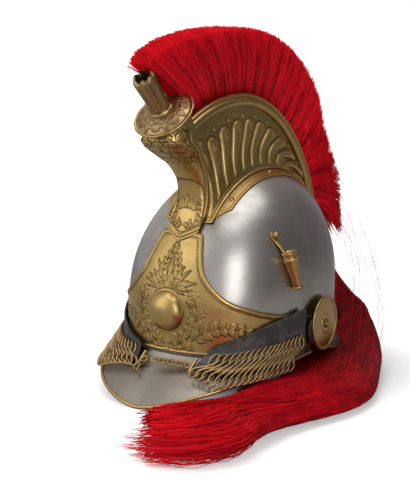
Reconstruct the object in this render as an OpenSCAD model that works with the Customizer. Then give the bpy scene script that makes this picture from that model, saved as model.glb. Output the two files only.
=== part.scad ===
// Cuirassier helmet: steel skull, brass crest with horsehair brush and mane,
// brass front plate, peak, neck guard, leather liner and a chain-covered chinstrap.
// The front faces -Y, the wearer's left is +X and the helmet stands on z = 0.

/* [Skull] */
// Half length of the skull, front to back
skull_half_length = 112; // [108:0.5:116]
// Half width of the skull
skull_half_width = 98; // [95:0.5:101]
// Height of the crown above the table
skull_top = 224; // [220:0.5:228]
// Height of the widest level of the skull
widest_z = 97; // [94:0.5:100]
// Height of the skull's bottom edge
rim_z = 46; // [44:0.5:48]
// Thickness of the steel sheet
steel_t = 1.2; // [1:0.1:1.5]
// How far the crown leans back
crown_lean = 19; // [17:0.5:21]

/* [Peak and neck guard] */
// Radius of the peak's round edge
peak_r = 93; // [90:0.5:96]
// Reach of the peak in front of the origin
peak_reach = 165; // [160:0.5:168]
// Radius of the neck guard's round edge
guard_r = 92; // [89:0.5:95]
// Reach of the neck guard behind the origin
guard_reach = 148; // [145:0.5:152]
// Rise of each edge from its lowest point to the temple
edge_rise = 28; // [26:0.5:30]
// Radius of the brass edging
edging_r = 2.2; // [1.8:0.1:2.4]

/* [Front plate] */
// Thickness of the brass sheet
brass_t = 1; // [0.8:0.1:1.2]
// Height of the front plate's top end
plate_top = 168; // [164:0.5:172]
// Radius of the round boss
boss_r = 20; // [17:0.5:22]
// How far the boss stands out
boss_rise = 12; // [9:0.5:14]
// Height of the boss centre
boss_z = 90; // [86:0.5:94]

/* [Crest] */
// Height of the crest's ridge
ridge_top = 301.5; // [297:0.5:306]
// Half width of the crest at the ridge
ridge_half = 12; // [11:0.5:13]
// Half width of the crest where it meets the skull
crest_foot = 26; // [24:0.5:28]
// Half width of the crest over its flanges
flange_half = 40; // [38:0.5:42]
// Number of gadroons on each side
gadroons = 11; // [9:1:13]
// How far the gadroons stand out
gadroon_rise = 2.6; // [1:0.2:3.4]

/* [Tuft socket] */
// Radius of the domed disc
disc_r = 31.7; // [29:0.2:33]
// Forward tilt of the disc
disc_tilt = 40; // [38:0.5:42]
// Height of the tuft socket above the disc
socket_h = 45; // [38:0.5:50]
// Outer radius of the tuft socket
socket_r = 10.5; // [9.5:0.1:11.5]
// Bore radius of the tuft socket
socket_bore_r = 8; // [7:0.1:8.5]

/* [Plume socket] */
// Length of the tapered plume socket
plume_h = 40; // [36:0.5:44]
// Outer radius of the plume socket's mouth
plume_top_r = 8; // [7.4:0.1:8.6]
// Outer radius of the plume socket's lower end
plume_low_r = 4.6; // [4.2:0.1:5.2]
// Bore radius of the plume socket
plume_bore_r = 3.4; // [2.8:0.1:3.6]

/* [Chinstrap] */
// Radius of the side rosettes
rosette_r = 28.5; // [26:0.5:30]
// Rearward turn of the rosettes
rosette_turn = 8; // [6:0.5:10]
// Thickness of the strap leather
leather_t = 2.2; // [1.8:0.1:2.4]
// Wire radius of the chain links
wire_r = 1; // [0.8:0.05:1.1]
// Spacing of the chain links along the strap
link_pitch = 10.5; // [10:0.1:11.5]

/* [Horsehair] */
// Length of the brush's hair over the ridge
brush_len = 62; // [56:1:68]
// Rows of hair along the brush
brush_rows = 30; // [26:1:36]
// Hairs across the brush
brush_cols = 6; // [4:1:6]

/* [Hidden] */
$fn = 48;
eps = 0.01;
plan_power = 2.3;
crown_power = 2.05;
skin_gap = 0.5;

steel = "silver";
brass = "darkgoldenrod";
old_brass = "peru";
hide = "dimgray";
hair = "crimson";

// Vectors and blends
function sgn_pow(v, p) = sign(v) * pow(abs(v), p);
function unit(v) = v / norm(v);
function mix(a, b, t) = a + (b - a) * t;
function flat(m) = [for (row = m) for (p = row) p];
function clamp01(t) = min(1, max(0, t));
function ease(t) = let (c = clamp01(t)) c * c * (3 - 2 * c);

// Skull surface, grown by g: u turns from the front (0) to the wearer's left (90)
function crown_t(z, g) = clamp01((z - widest_z) / (skull_top + g - widest_z));
function fill(z, g) = z >= widest_z
    ? pow(max(0, 1 - pow(crown_t(z, g), crown_power)), 1 / crown_power)
    : 1 - 0.05 * pow((widest_z - z) / widest_z, 2);
function lean(z, g) = z >= widest_z ? crown_lean * pow(crown_t(z, g), 1.3) : 0;
function skull_pt(u, z, g = 0) = [
    (skull_half_width + g) * fill(z, g) * sgn_pow(sin(u), 2 / plan_power),
    lean(z, g) - (skull_half_length + g) * fill(z, g) * sgn_pow(cos(u), 2 / plan_power),
    z];
function skull_normal(u, z) = unit(cross(
    skull_pt(u + 1, z) - skull_pt(u - 1, z), skull_pt(u, z + 0.5) - skull_pt(u, z - 0.5)));
function inside_skull(x, y, z, g) =
    let (f = max(fill(z, g), eps / 100))
    pow(abs(x) / ((skull_half_width + g) * f), plan_power)
    + pow(abs(y - lean(z, g)) / ((skull_half_length + g) * f), plan_power) < 1;
function skull_z(x, y, g, lo, hi, n = 22) = n == 0 ? (lo + hi) / 2
    : let (m = (lo + hi) / 2)
      inside_skull(x, y, m, g) ? skull_z(x, y, g, m, hi, n - 1) : skull_z(x, y, g, lo, m, n - 1);
function on_skull(x, y, g) = [x, y, skull_z(x, y, g, widest_z, skull_top + g)];
function top_normal(x, y) = unit([
    on_skull(x - 1, y, 0)[2] - on_skull(x + 1, y, 0)[2],
    on_skull(x, y - 1, 0)[2] - on_skull(x, y + 1, 0)[2], 2]);

// Triangles of a grid of points, and of the walls round it
function grid_faces(rows, cols, start, wrap, flip) = [
    for (i = [0:rows - 2], j = [0:(wrap ? cols - 1 : cols - 2)], k = [0, 1])
    let (
        a = start + i * cols + j,
        b = start + i * cols + (j + 1) % cols,
        c = start + (i + 1) * cols + (j + 1) % cols,
        d = start + (i + 1) * cols + j)
    k == 0 ? (flip ? [a, c, d] : [a, d, c]) : (flip ? [a, b, c] : [a, c, b])];
function wall_faces(loop, shift) = [
    for (k = [0:len(loop) - 2], side = [0, 1])
    let (p = loop[k], q = loop[k + 1])
    side == 0 ? [p, q, q + shift] : [p, q + shift, p + shift]];
function sheet_loop(rows, cols) = concat(
    [for (j = [0:cols - 1]) j],
    [for (i = [1:rows - 1]) i * cols + cols - 1],
    [for (j = [cols - 2:-1:0]) (rows - 1) * cols + j],
    [for (i = [rows - 2:-1:0]) i * cols]);

// A sheet between two grids of points; rows go up and columns run to the right, seen from outside
module sheet(outer, inner, wrap = false) {
    rows = len(outer);
    cols = len(outer[0]);
    n = rows * cols;
    walls = wrap
        ? concat(
            wall_faces([for (j = [0:cols]) j % cols], n),
            wall_faces([for (j = [cols:-1:0]) (rows - 1) * cols + j % cols], n))
        : wall_faces(sheet_loop(rows, cols), n);
    polyhedron(concat(flat(outer), flat(inner)), concat(
        grid_faces(rows, cols, 0, wrap, false), grid_faces(rows, cols, n, wrap, true), walls),
        convexity = 6);
}

// A tube through closed rings of points with flat ends; rings turn anticlockwise round the path
module tube(rings) {
    rows = len(rings);
    cols = len(rings[0]);
    n = rows * cols;
    first = [for (k = [0:2]) sum([for (p = rings[0]) p[k]]) / cols];
    last = [for (k = [0:2]) sum([for (p = rings[rows - 1]) p[k]]) / cols];
    polyhedron(concat(flat(rings), [first, last]), concat(
        grid_faces(rows, cols, 0, true, false),
        [for (j = [0:cols - 1]) [n, j, (j + 1) % cols]],
        [for (j = [0:cols - 1]) [n + 1, n - cols + (j + 1) % cols, n - cols + j]]),
        convexity = 6);
}
function sum(v, i = 0) = i == len(v) ? 0 : v[i] + sum(v, i + 1);

// A closed wire loop through a list of points, with the direction that it lies flat to at each
module wire_loop(pts, flats, r, sides) {
    n = len(pts);
    rings = [for (i = [0:n - 1])
        let (
            t = unit(pts[(i + 1) % n] - pts[(i + n - 1) % n]),
            side = unit(cross(t, flats[i])),
            up = cross(t, side))
        [for (k = [0:sides - 1]) pts[i] + r * (cos(-360 * k / sides) * side + sin(-360 * k / sides) * up)]];
    polyhedron(flat(rings), [
        for (i = [0:n - 1], j = [0:sides - 1], k = [0, 1])
        let (
            a = i * sides + j,
            b = i * sides + (j + 1) % sides,
            c = ((i + 1) % n) * sides + (j + 1) % sides,
            d = ((i + 1) % n) * sides + j)
        k == 0 ? [a, d, c] : [a, c, b]], convexity = 6);
}

// Stands children up along a direction at a point
module stand_on(p, n) {
    translate(p) rotate([0, acos(n[2]), atan2(n[1], n[0])]) children();
}

// Peak and neck guard: the sheet's free edge, and the surface between it and the skull
temple_u = 62;
peak_end = 90;
guard_end = 82;
edge_low = edging_r + 0.1;
upstand = 8;
brim_steps = 24;
brim_arch = 3;
brim_wide = 40;
function round_edge(v, r, reach, face) =
    let (a = v * 80 / temple_u)
    [r * sin(a), face * (reach - r + r * cos(a)), edge_low + edge_rise * pow(abs(sin(a)), 1.5)];
function rim_pt(u, g, dz = 0) = skull_pt(u, rim_z + dz, g);
function free_edge(v, r, reach, face, last) =
    let (
        s = v < 0 ? -1 : 1,
        near = round_edge(s * min(abs(v), temple_u), r, reach, face),
        seam_u = face < 0 ? s * last : 180 - s * last,
        end = rim_pt(seam_u, 3) - [0, 0, 5],
        t = clamp01((abs(v) - temple_u) / (last - temple_u)))
    mix(near, end, t);
function peak_u(v, face) = face < 0 ? v : 180 - v;
function brim_pt(v, s, r, reach, face, last) =
    let (
        a = rim_pt(peak_u(v, face), -steel_t - skin_gap, -2),
        e = free_edge(v, r, reach, face, last),
        arch = brim_arch * min(1, norm(e - a) / brim_wide))
    mix(a, e, s) + [0, 0, arch * sin(180 * s)];
module brim(r, reach, face, last) {
    vs = [for (i = [0:brim_steps]) mix(-last, last, i / brim_steps)];
    order = face < 0 ? vs : [for (v = vs) -v];
    cuts = [1, 0.67, 0.33, 0];
    outer = concat(
        [for (s = cuts) [for (v = order) brim_pt(v, s, r, reach, face, last)]],
        [[for (v = order) rim_pt(peak_u(v, face), -steel_t - skin_gap, upstand)]]);
    inner = concat(
        [for (s = cuts) [for (v = order)
            brim_pt(v, s, r, reach, face, last) - [0, face * s * 0.3, steel_t * 1.3]
            - steel_t * (1 - s) * outward(peak_u(v, face))]],
        [[for (v = order) rim_pt(peak_u(v, face), -2 * steel_t - skin_gap, upstand)]]);
    sheet(outer, inner);
}
function outward(u) = let (n = skull_normal(u, rim_z)) unit([n[0], n[1], 0]);
module edging(r, reach, face, last) {
    vs = [for (i = [0:brim_steps]) mix(-last, last, i / brim_steps)];
    mid = [for (v = vs) brim_pt(v, 1, r, reach, face, last) - [0, 0, steel_t * 0.65]];
    difference() {
        tube(sweep_rings(mid, edging_r, 6));
        brim_slot(r, reach, face, last);
    }
}
// The slot that the brim's edge sits in
module brim_slot(r, reach, face, last) {
    vs = concat([-last - 1], [for (i = [0:brim_steps]) mix(-last, last, i / brim_steps)], [last + 1]);
    order = face < 0 ? vs : [for (v = vs) -v];
    lift = 0.25;
    function cut(v, k) = k == 0 ? 1.004
        : let (wide = norm(brim_pt(v, 1, r, reach, face, last) - brim_pt(v, 0, r, reach, face, last)))
          1 - min(0.95, 2.1 * edging_r / wide);
    top = [for (k = [0, 1]) [for (v = order)
        brim_pt(v, cut(v, k), r, reach, face, last) + [0, 0, lift]]];
    low = [for (k = [0, 1]) [for (v = order)
        brim_pt(v, cut(v, k), r, reach, face, last) - [0, face * cut(v, k) * 0.3, steel_t * 1.3 + lift]
        - steel_t * (1 - cut(v, k)) * outward(peak_u(v, face))]];
    sheet(top, low);
}
function sweep_rings(path, r, sides) = [
    for (i = [0:len(path) - 1])
    let (
        t = unit(path[min(i + 1, len(path) - 1)] - path[max(i - 1, 0)]),
        side = unit(cross(t, [0, 0, 1])),
        up = cross(side, t))
    [for (k = [0:sides - 1]) path[i] + r * (cos(-360 * k / sides) * side + sin(-360 * k / sides) * up)]];

module skull_shell() {
    turns = 36;
    levels = concat(
        [rim_z, mix(rim_z, widest_z, 0.5)],
        [for (v = [0:9.5:84]) widest_z + (skull_top - widest_z) * pow(sin(v), 2 / crown_power)]);
    function level_in(z) = z <= widest_z ? z
        : widest_z + (z - widest_z) * (skull_top - steel_t - widest_z) / (skull_top - widest_z);
    rows = len(levels);
    n = rows * turns;
    outer = [for (z = levels) for (j = [0:turns - 1]) skull_pt(j * 360 / turns, z)];
    inner = [for (z = levels) for (j = [0:turns - 1]) skull_pt(j * 360 / turns, level_in(z), -steel_t)];
    poles = [[0, crown_lean, skull_top], [0, crown_lean, skull_top - steel_t]];
    faces = concat(
        grid_faces(rows, turns, 0, true, false),
        grid_faces(rows, turns, n, true, true),
        wall_faces([for (j = [0:turns]) j % turns], n),
        [for (j = [0:turns - 1]) [2 * n, n - turns + (j + 1) % turns, n - turns + j]],
        [for (j = [0:turns - 1]) [2 * n + 1, 2 * n - turns + j, 2 * n - turns + (j + 1) % turns]]);
    color(steel) difference() {
        polyhedron(concat(outer, inner, poles), faces, convexity = 6);
        for (p = crest_screw_spots, s = [-1, 1]) crest_hole(p, s);
        for (s = [-1, 1]) rosette_hole(s);
        for (u = visor_rivet_us) rim_hole(u);
        for (u = guard_rivet_us) rim_hole(u);
        plume_hole();
    }
}

// Brass front plate, from the skull's front edge up to the crest, with its round boss
plate_edge = [[0, 170], [15, 168], [17, 148], [19.5, 132], [23.5, 123], [28, 115], [34, 107], [41, 101],
    [48, 97], [55, 93], [66, 88], [75, 85], [83, 83], [90, 79]];
plate_us = [0, 3.6, 7.2, 11.2, 15, 17, 19.5, 23.5, 28, 34, 41, 48, 55, 66, 75, 83, 90];
plate_gap = 0.8;
function plate_bulge(u, z) =
    let (
        p = skull_pt(u, z),
        d = norm([p[0], z - boss_z]) / boss_r)
    u < 60 && u > -60 && d < 1 ? boss_rise * sqrt(1 - d * d) : 0;
module front_plate() {
    last = len(plate_us) - 1;
    us = concat([for (j = [last:-1:1]) -plate_us[j]], plate_us);
    low = rim_z + 2.5;
    levels = concat(
        [low, mix(low, boss_z - boss_r * 1.02, 0.55)],
        [for (c = [-1.02, -0.8, -0.3, 0.3, 0.8, 1.02]) boss_z + boss_r * c],
        [for (i = [1:4]) mix(boss_z + boss_r * 1.02, plate_top, i / 4)]);
    function at(u, z) = mix(low, min(plate_top, lookup(abs(u), plate_edge)), (z - low) / (plate_top - low));
    outer = [for (z = levels) [for (u = us)
        skull_pt(u, at(u, z), plate_gap + brass_t + plate_bulge(u, at(u, z)))]];
    inner = [for (z = levels) [for (u = us)
        skull_pt(u, at(u, z), plate_gap + max(0, plate_bulge(u, at(u, z)) - brass_t / 2))]];
    color(brass) difference() {
        sheet(outer, inner);
        for (u = visor_rivet_us) rim_hole(u);
        mask_rivet_hole();
    }
}

module visor() color(steel) {
    difference() {
        brim(peak_r, peak_reach - edging_r, -1, peak_end);
        for (u = visor_rivet_us) rim_hole(u);
    }
}
module visor_trim() color(brass) edging(peak_r, peak_reach - edging_r, -1, peak_end);
module neck_guard() color(steel) {
    difference() {
        brim(guard_r, guard_reach - edging_r, 1, guard_end);
        for (u = guard_rivet_us) rim_hole(u);
    }
}
module neck_guard_trim() color(brass) edging(guard_r, guard_reach - edging_r, 1, guard_end);

// Crest: the ridge is two elliptic arcs, a longer one in front
ridge_y = -10;
ridge_base = widest_z + 13;
ridge_front = skull_half_length + 72;
ridge_back = skull_half_length + 41;
ridge_start = 60;
ridge_end = 164;
function ridge_pt(a, x, n = 0) =
    let (
        w = cos(a) > 0 ? ridge_front : ridge_back,
        h = ridge_top - ridge_base,
        out = unit([0, -cos(a) / w, sin(a) / h]))
    [x, ridge_y - w * cos(a), ridge_base + h * sin(a)] + n * out;
foot_front = 34 - skull_half_length;
foot_back = skull_half_length - 8;
rim_depth = 9;
front_waist = 21;
function foot_y(s) = mix(foot_front, foot_back, s);
function wall_pt(s, t, dx) =
    let (
        low = on_skull(crest_foot, foot_y(s), skin_gap + brass_t),
        high = ridge_pt(mix(ridge_start, ridge_end, s), ridge_half, -rim_depth),
        p = mix(low, high, t),
        w = ridge_half + (crest_foot - ridge_half) * pow(1 - t, 1.6),
        back = front_waist * sin(180 * pow(t, 0.9)) * pow(1 - s, 5))
    [w + dx, p[1] + back, p[2]];
function gadroon(s, t) =
    let (
        k = (s + 0.05 * sin(360 * t)) * gadroons,
        across = abs(k - floor(k) - 0.5) * 2,
        lobe = sqrt(max(0, 1 - across * across)),
        fade = ease((t - 0.06) / 0.2) * (1 - ease((t - 0.72) / 0.1)))
    s > 0.03 && s < 0.97 ? gadroon_rise * lobe * fade : 0;
module crest_half(s) {
    cols = 4 * gadroons;
    ts = [for (i = [0:5]) i / 5];
    flange = [flange_half, mix(flange_half, crest_foot, 0.5)];
    outer = concat(
        [for (x = flange) [for (j = [0:cols]) on_skull(x, foot_y(j / cols), skin_gap + brass_t)]],
        [for (t = ts) [for (j = [0:cols]) wall_pt(j / cols, t, gadroon(j / cols, t))]]);
    inner = concat(
        [for (x = flange) [for (j = [0:cols]) on_skull(x, foot_y(j / cols), skin_gap)]],
        [[for (j = [0:cols]) on_skull(crest_foot - brass_t, foot_y(j / cols), skin_gap)]],
        [for (i = [1:5]) [for (j = [0:cols])
            wall_pt(j / cols, ts[i], gadroon(j / cols, ts[i]) * 0.9 - brass_t)]]);
    difference() {
        mirror([s < 0 ? 1 : 0, 0, 0]) sheet(outer, inner);
        for (p = crest_screw_spots) crest_hole(p, s);
    }
}
module crest_left_side() color(brass) crest_half(1);
module crest_right_side() color(brass) crest_half(-1);

// Rolled rim along the ridge, a channel that holds the brush
channel_half = 7.5;
channel_depth = 6;
module crest_rim() {
    steps = 20;
    lip = ridge_half + 0.8;
    profile = [[lip + 1.2, -12], [lip + 2.4, -7], [lip + 1.6, -2], [lip - 3, 0], [channel_half, -1],
        [channel_half, -channel_depth], [0, -channel_depth]];
    under = [[lip, -12], [lip + 1.2, -7], [lip + 0.4, -3], [lip - 3, -1.2], [channel_half + 1, -2],
        [channel_half + 1, -channel_depth - 1.2], [0, -channel_depth - 1.2]];
    function whole(p) = concat(p, [for (i = [len(p) - 2:-1:0]) [-p[i][0], p[i][1]]]);
    angles = [for (i = [0:steps]) mix(ridge_start - 2, ridge_end + 1, i / steps)];
    outer = [for (q = whole(profile)) [for (a = angles) ridge_pt(a, q[0], q[1])]];
    inner = [for (q = whole(under)) [for (a = angles) ridge_pt(a, q[0], q[1])]];
    color(brass) sheet(outer, inner);
}

// Crest front: foliate mask and panel under the disc, pointed at its lower end
function wall_front(z) =
    let (low = wall_pt(0, 0, 0), high = wall_pt(0, 1, 0), t = (z - low[2]) / (high[2] - low[2]))
    t < 0 ? low[1] + 0.35 * (z - low[2]) - mask_lap : wall_pt(0, min(t, 1), 0)[1] - mask_lap;
mask_depths = [[-10, 7], [4, 7.5], [24, 10.5], [46, 14], [60, 20], [72, 27], [84, 34], [94, 38], [132, 38]];
mask_widths = [[-10, 20], [4, 20], [24, 18.5], [46, 18], [64, 20], [82, 24], [94, 25.5], [132, 26]];
mask_low = plate_top - 8;
mask_lap = 0.6;
mask_t = 1.4;
disc_y = -skull_half_length - 3.6;
disc_z = ridge_top - 13.5;
mask_high = disc_z - 26;
disc_gap = 0.33;
// Height of the mask's top edge over the disc's plane, up in the dome and under its rim
function disc_seat(p) = lookup(norm([p[0], (p[1] - disc_y) / cos(disc_tilt)]), [
    [socket_foot + 2, dome_rise - 2.6], [disc_r * 0.75, 2.03], [disc_r * 0.86, -1], [2 * disc_r, -1]])
    - disc_gap;
function disc_plane(y, drop) = disc_z + (y - disc_y) * tan(disc_tilt) - drop / cos(disc_tilt);
function skull_front(x, z, g) =
    let (f = fill(z, g), across = min(1, abs(x) / ((skull_half_width + g) * max(f, eps))))
    lean(z, g) - (skull_half_length + g) * f * pow(1 - pow(across, plan_power), 1 / plan_power);
function mask_xy(z, a, g) =
    let (
        w = lookup(z - plate_top, mask_widths) + g,
        d = lookup(z - plate_top, mask_depths) + g,
        x = w * sgn_pow(sin(a), 0.75),
        seat = skull_front(x, z, plate_gap + brass_t + 0.4 + mask_t + g))
    [x, min(seat, wall_front(z) - d * sgn_pow(max(0, cos(a)), 0.75))];
module crest_mask() {
    rows = 12;
    cols = 14;
    function level(i, a, g) =
        let (
            bottom = mask_low + 9 * abs(sin(a)),
            z0 = mix(bottom, mask_high, min(1, i / (rows - 3))),
            xy = mask_xy(z0, a, g),
            top = disc_plane(xy[1], -disc_seat(xy)))
        [xy[0], xy[1], i <= rows - 3 ? z0 : mix(mask_high, max(mask_high + 1, top), (i - rows + 3) / 3)];
    outer = [for (i = [0:rows]) [for (j = [0:cols]) level(i, mix(-90, 90, j / cols), 0)]];
    inner = [for (i = [0:rows]) [for (j = [0:cols]) level(i, mix(-90, 90, j / cols), -mask_t)]];
    color(brass) difference() {
        sheet(outer, inner);
        mask_rivet_hole();
    }
}

// Domed disc and the tuft socket on it
dome_rise = 7;
socket_foot = 13;
module at_disc() translate([0, disc_y, disc_z]) rotate([disc_tilt, 0, 0]) children();
module tuft_disc() color(old_brass) at_disc() rotate_extrude($fn = 96) polygon([
    [socket_bore_r + 1, dome_rise], [socket_foot, dome_rise], [socket_foot + 3, dome_rise - 0.8],
    [disc_r * 0.8, 3], [disc_r - 2.5, 1.4], [disc_r - 1, 1.8], [disc_r, 0.8], [disc_r - 0.4, -0.6],
    [disc_r - 2, -1], [disc_r * 0.8, 1.6], [socket_foot + 2, dome_rise - 2.6],
    [socket_bore_r + 1, dome_rise - 2]]);
module tuft_socket() color(old_brass) at_disc() translate([0, 0, dome_rise]) difference() {
    union() {
        rotate_extrude($fn = 96) polygon([
            [0, 0], [socket_foot - 0.5, 0], [socket_foot - 1, 3], [socket_r - 0.6, 7],
            [socket_r - 0.6, socket_h * 0.55], [socket_r, socket_h * 0.7], [socket_r + 0.6, socket_h * 0.95],
            [socket_r + 0.2, socket_h], [0, socket_h]]);
        for (k = [0:7]) rotate(k * 45) translate([socket_r - 0.4, 0, 4])
            cylinder(h = socket_h * 0.9 - 4, r = 1.7);
    }
    translate([0, 0, 3]) cylinder(h = socket_h, r = socket_bore_r, $fn = 96);
    for (k = [0:7]) rotate(k * 45 + 22.5) translate([socket_r + 0.8, 0, socket_h + 0.6]) rotate([0, 90, 0])
        cylinder(h = 6, r = 2.2, center = true);
}

// Horsehair brush: a block in the channel and a bed of tapered hairs on it
brush_from = 72;
brush_to = 160;
block_half = channel_half - 0.4;
block_low = -channel_depth + 0.2;
module brush_base() color(hide) {
    steps = 24;
    ring = [[block_half, block_low], [block_half, 0], [-block_half, 0], [-block_half, block_low]];
    tube([for (i = [0:steps]) let (a = mix(brush_from, brush_to, i / steps))
        [for (q = ring) ridge_pt(a, q[0], q[1])]]);
}
drawn_len = 62;
// Each row has an angle along the ridge, then how far its hairs run out and back
hair_runs = [[72, 81.5, -60.2], [76, 78.7, -57.6], [80, 75.8, -45.1], [85, 71.4, -37.6], [90, 67.5, -32],
    [95, 64.9, -24.5], [100, 64.8, -19], [105, 66.8, -14.6], [110, 69.3, -12.1], [115, 72, -10.4],
    [120, 74.2, -8.6], [125, 74.5, -7.8], [130, 74.8, -6.5], [135, 75, -6.1], [140, 74.7, -4],
    [145, 73.6, 0.9], [150, 72.9, 10.2], [155, 69.3, 26.8], [160, 57.8, 45.5]];
hair_fan = [[72, 17], [80, 24], [100, 27], [130, 27], [160, 20]];
function hair_tip(a, across) =
    let (
        out = ridge_pt(a, 0, 1) - ridge_pt(a, 0),
        back = [0, out[2], -out[1]])
    ridge_pt(a, 0) + (brush_len / drawn_len) * (
        [across * lookup(a, hair_fan), 0, 0]
        + lookup(a, [for (p = hair_runs) [p[0], p[1]]]) * out
        + lookup(a, [for (p = hair_runs) [p[0], p[2]]]) * back);

// Each cell of the backing's top holds two three-sided hairs that taper to their tips
module crest_brush() {
    r = brush_rows;
    c = brush_cols;
    lift = 0.3;
    slice = 3;
    halves = [[[0, 0], [0, 1], [1, 1]], [[0, 0], [1, 1], [1, 0]]];
    function angle(i) = mix(brush_from, brush_to, i / r);
    function foot(i, j, n) = ridge_pt(angle(i), mix(block_half, -block_half, j / c), n);
    function corner(i, j, q) = foot(i + q[0], j + q[1], lift + slice);
    function hair_at(i, j, h) =
        let (
            q = (h[0] + h[1] + h[2]) / 3,
            mid = (corner(i, j, h[0]) + corner(i, j, h[1]) + corner(i, j, h[2])) / 3,
            tip = hair_tip(angle(i + q[0]), 1 - 2 * (j + q[1]) / c),
            ragged = 1 + 0.04 * ease(i / r / 0.4) * sin(i * 97 + j * 151 + q[0] * 500))
        [for (p = h) mid + ragged * (tip - mid) + 0.5 * (corner(i, j, p) - mid)];
    grid = [for (i = [0:r]) for (j = [0:c]) foot(i, j, lift + slice)];
    under = [for (i = [0:r]) for (j = [0, c]) foot(i, j, lift)];
    n = len(grid);
    m = n + len(under);
    tips = [for (i = [0:r - 1]) for (j = [0:c - 1]) for (h = halves) for (p = hair_at(i, j, h)) p];
    strands = [for (i = [0:r - 1]) for (j = [0:c - 1]) for (h = [0, 1])
        let (
            base = [for (q = halves[h]) (i + q[0]) * (c + 1) + j + q[1]],
            top = m + 3 * (2 * (i * c + j) + h))
        for (f = concat(
            [for (k = [0:2]) [base[k], base[(k + 1) % 3], top + (k + 1) % 3]],
            [for (k = [0:2]) [base[k], top + (k + 1) % 3, top + k]],
            [[top, top + 1, top + 2]])) f];
    back = [for (i = [0:r - 1]) let (
            a = n + 2 * i,
            b = a + 1,
            g = i * (c + 1),
            h = g + c)
        for (f = [
            [a, b + 2, b], [a, a + 2, b + 2],
            [a, g + c + 1, a + 2], [a, g, g + c + 1],
            [b, h + c + 1, h], [b, b + 2, h + c + 1]]) f];
    front_end = [for (j = [0:c - 1]) [n, j + 1, j]];
    rear_end = [for (j = [0:c - 1]) [n + 2 * r, r * (c + 1) + j, r * (c + 1) + j + 1]];
    ends = [[n, n + 1, c], [n + 2 * r, r * (c + 1) + c, n + 2 * r + 1]];
    color(hair) polyhedron(concat(grid, under, tips), concat(strands, back, front_end, rear_end, ends),
        convexity = 8);
}

// Mane: bound on a block at the crest's tail, down to the table and forward along the left side
block_len = 17;
module mane_block() {
    way = unit(mane_path[1] - mane_path[0]);
    color(hide) stand_on(mane_path[0] - way * (block_len / 2 + 0.3), way)
        cube([16, 14, block_len], center = true);
}
mane_path = [for (p = [[0, 34, 147], [0, 46, 136], [-2, 51, 110], [2, 54, 80], [32, 48, 52],
    [72, 25, 33], [107, -20, 20], [127, -66, 16], [151, -131, 13], [150, -179, 13], [138, -224, 13],
    [128, -268, 14.5], [125, -317, 17], [126, -352, 18], [114, -365, 16], [97, -369, 13]])
    [p[0], p[1] + skull_half_length, p[2]]];
mane_size = [[7, 7], [11, 9], [13, 12], [16, 15], [17, 19], [14, 26], [16, 19], [23, 15], [30, 12.5],
    [34, 12.5], [37, 12.5], [42, 14], [50, 17], [56, 18], [50, 16], [34, 12]];
module mane() {
    sides = 20;
    last = len(mane_path) - 1;
    function lobe(k, i) = 1 + 0.09 * cos(5 * 360 * k / sides + i * 24);
    color(hair) tube([for (i = [0:last])
        let (
            t = unit(mane_path[min(i + 1, last)] - mane_path[max(i - 1, 0)]),
            side = unit(cross(t, [0.01, 0, 1])),
            up = cross(side, t))
        [for (k = [0:sides - 1])
            let (p = mane_path[i]
                + mane_size[i][0] * lobe(k, i) * cos(-360 * k / sides) * side
                + mane_size[i][1] * lobe(k, i) * sin(-360 * k / sides) * up)
            [p[0], p[1], max(0.4, p[2])]]]);
}

// Screws and rivets through the sheets
screw_r = 1.2;
hole_r = 1.35;
head_r = 2.9;
nut_r = 3.4;
nut_h = 2;
flange_mid = (flange_half + crest_foot) / 2;
crest_screw_spots = [-48, 18, 78];
module at_crest_screw(y, s) {
    n = top_normal(flange_mid, y);
    p = on_skull(flange_mid, y, 0);
    mirror([s < 0 ? 1 : 0, 0, 0]) stand_on(p, n) children();
}
module crest_hole(y, s) at_crest_screw(y, s) cylinder(h = 12, r = hole_r, center = true);
module dome_head(r, h) intersection() {
    translate([0, 0, h - (r * r + h * h) / (2 * h)]) sphere(r = (r * r + h * h) / (2 * h), $fn = 48);
    cylinder(h = h, r = r);
}
module crest_screws() color(old_brass) for (y = crest_screw_spots, s = [-1, 1]) at_crest_screw(y, s) {
    translate([0, 0, skin_gap + brass_t + 0.35]) dome_head(head_r, 1.7);
    translate([0, 0, -5]) cylinder(h = skin_gap + brass_t + 5.6, r = screw_r);
}
module crest_nuts() color(steel) for (y = crest_screw_spots, s = [-1, 1]) at_crest_screw(y, s)
    translate([0, 0, -steel_t - 0.75 - nut_h]) difference() {
        cylinder(h = nut_h, r = nut_r, $fn = 6);
        translate([0, 0, -1]) cylinder(h = nut_h + 2, r = screw_r + 0.1);
    }

visor_rivet_us = [-66, -33, 0, 33, 66];
guard_rivet_us = [112, 146, 180, 214, 248];
rivet_z = 4.5;
module at_rim(u) {
    n = outward(u);
    stand_on(rim_pt(u, 0, rivet_z), n) children();
}
module rim_hole(u) at_rim(u) cylinder(h = 16, r = hole_r, center = true);
module rivet(top) {
    translate([0, 0, top]) dome_head(2.4, 1.2);
    inside = 2 * steel_t + skin_gap;
    translate([0, 0, -inside - 0.7]) cylinder(h = top + inside + 1, r = screw_r);
    translate([0, 0, -inside - 1.4]) cylinder(h = 0.9, r = 2.2);
}
module visor_rivets() color(brass) for (u = visor_rivet_us) at_rim(u) rivet(plate_gap + brass_t + 0.4);
module neck_guard_rivets() color(steel) for (u = guard_rivet_us) at_rim(u) rivet(0.35);

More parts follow.
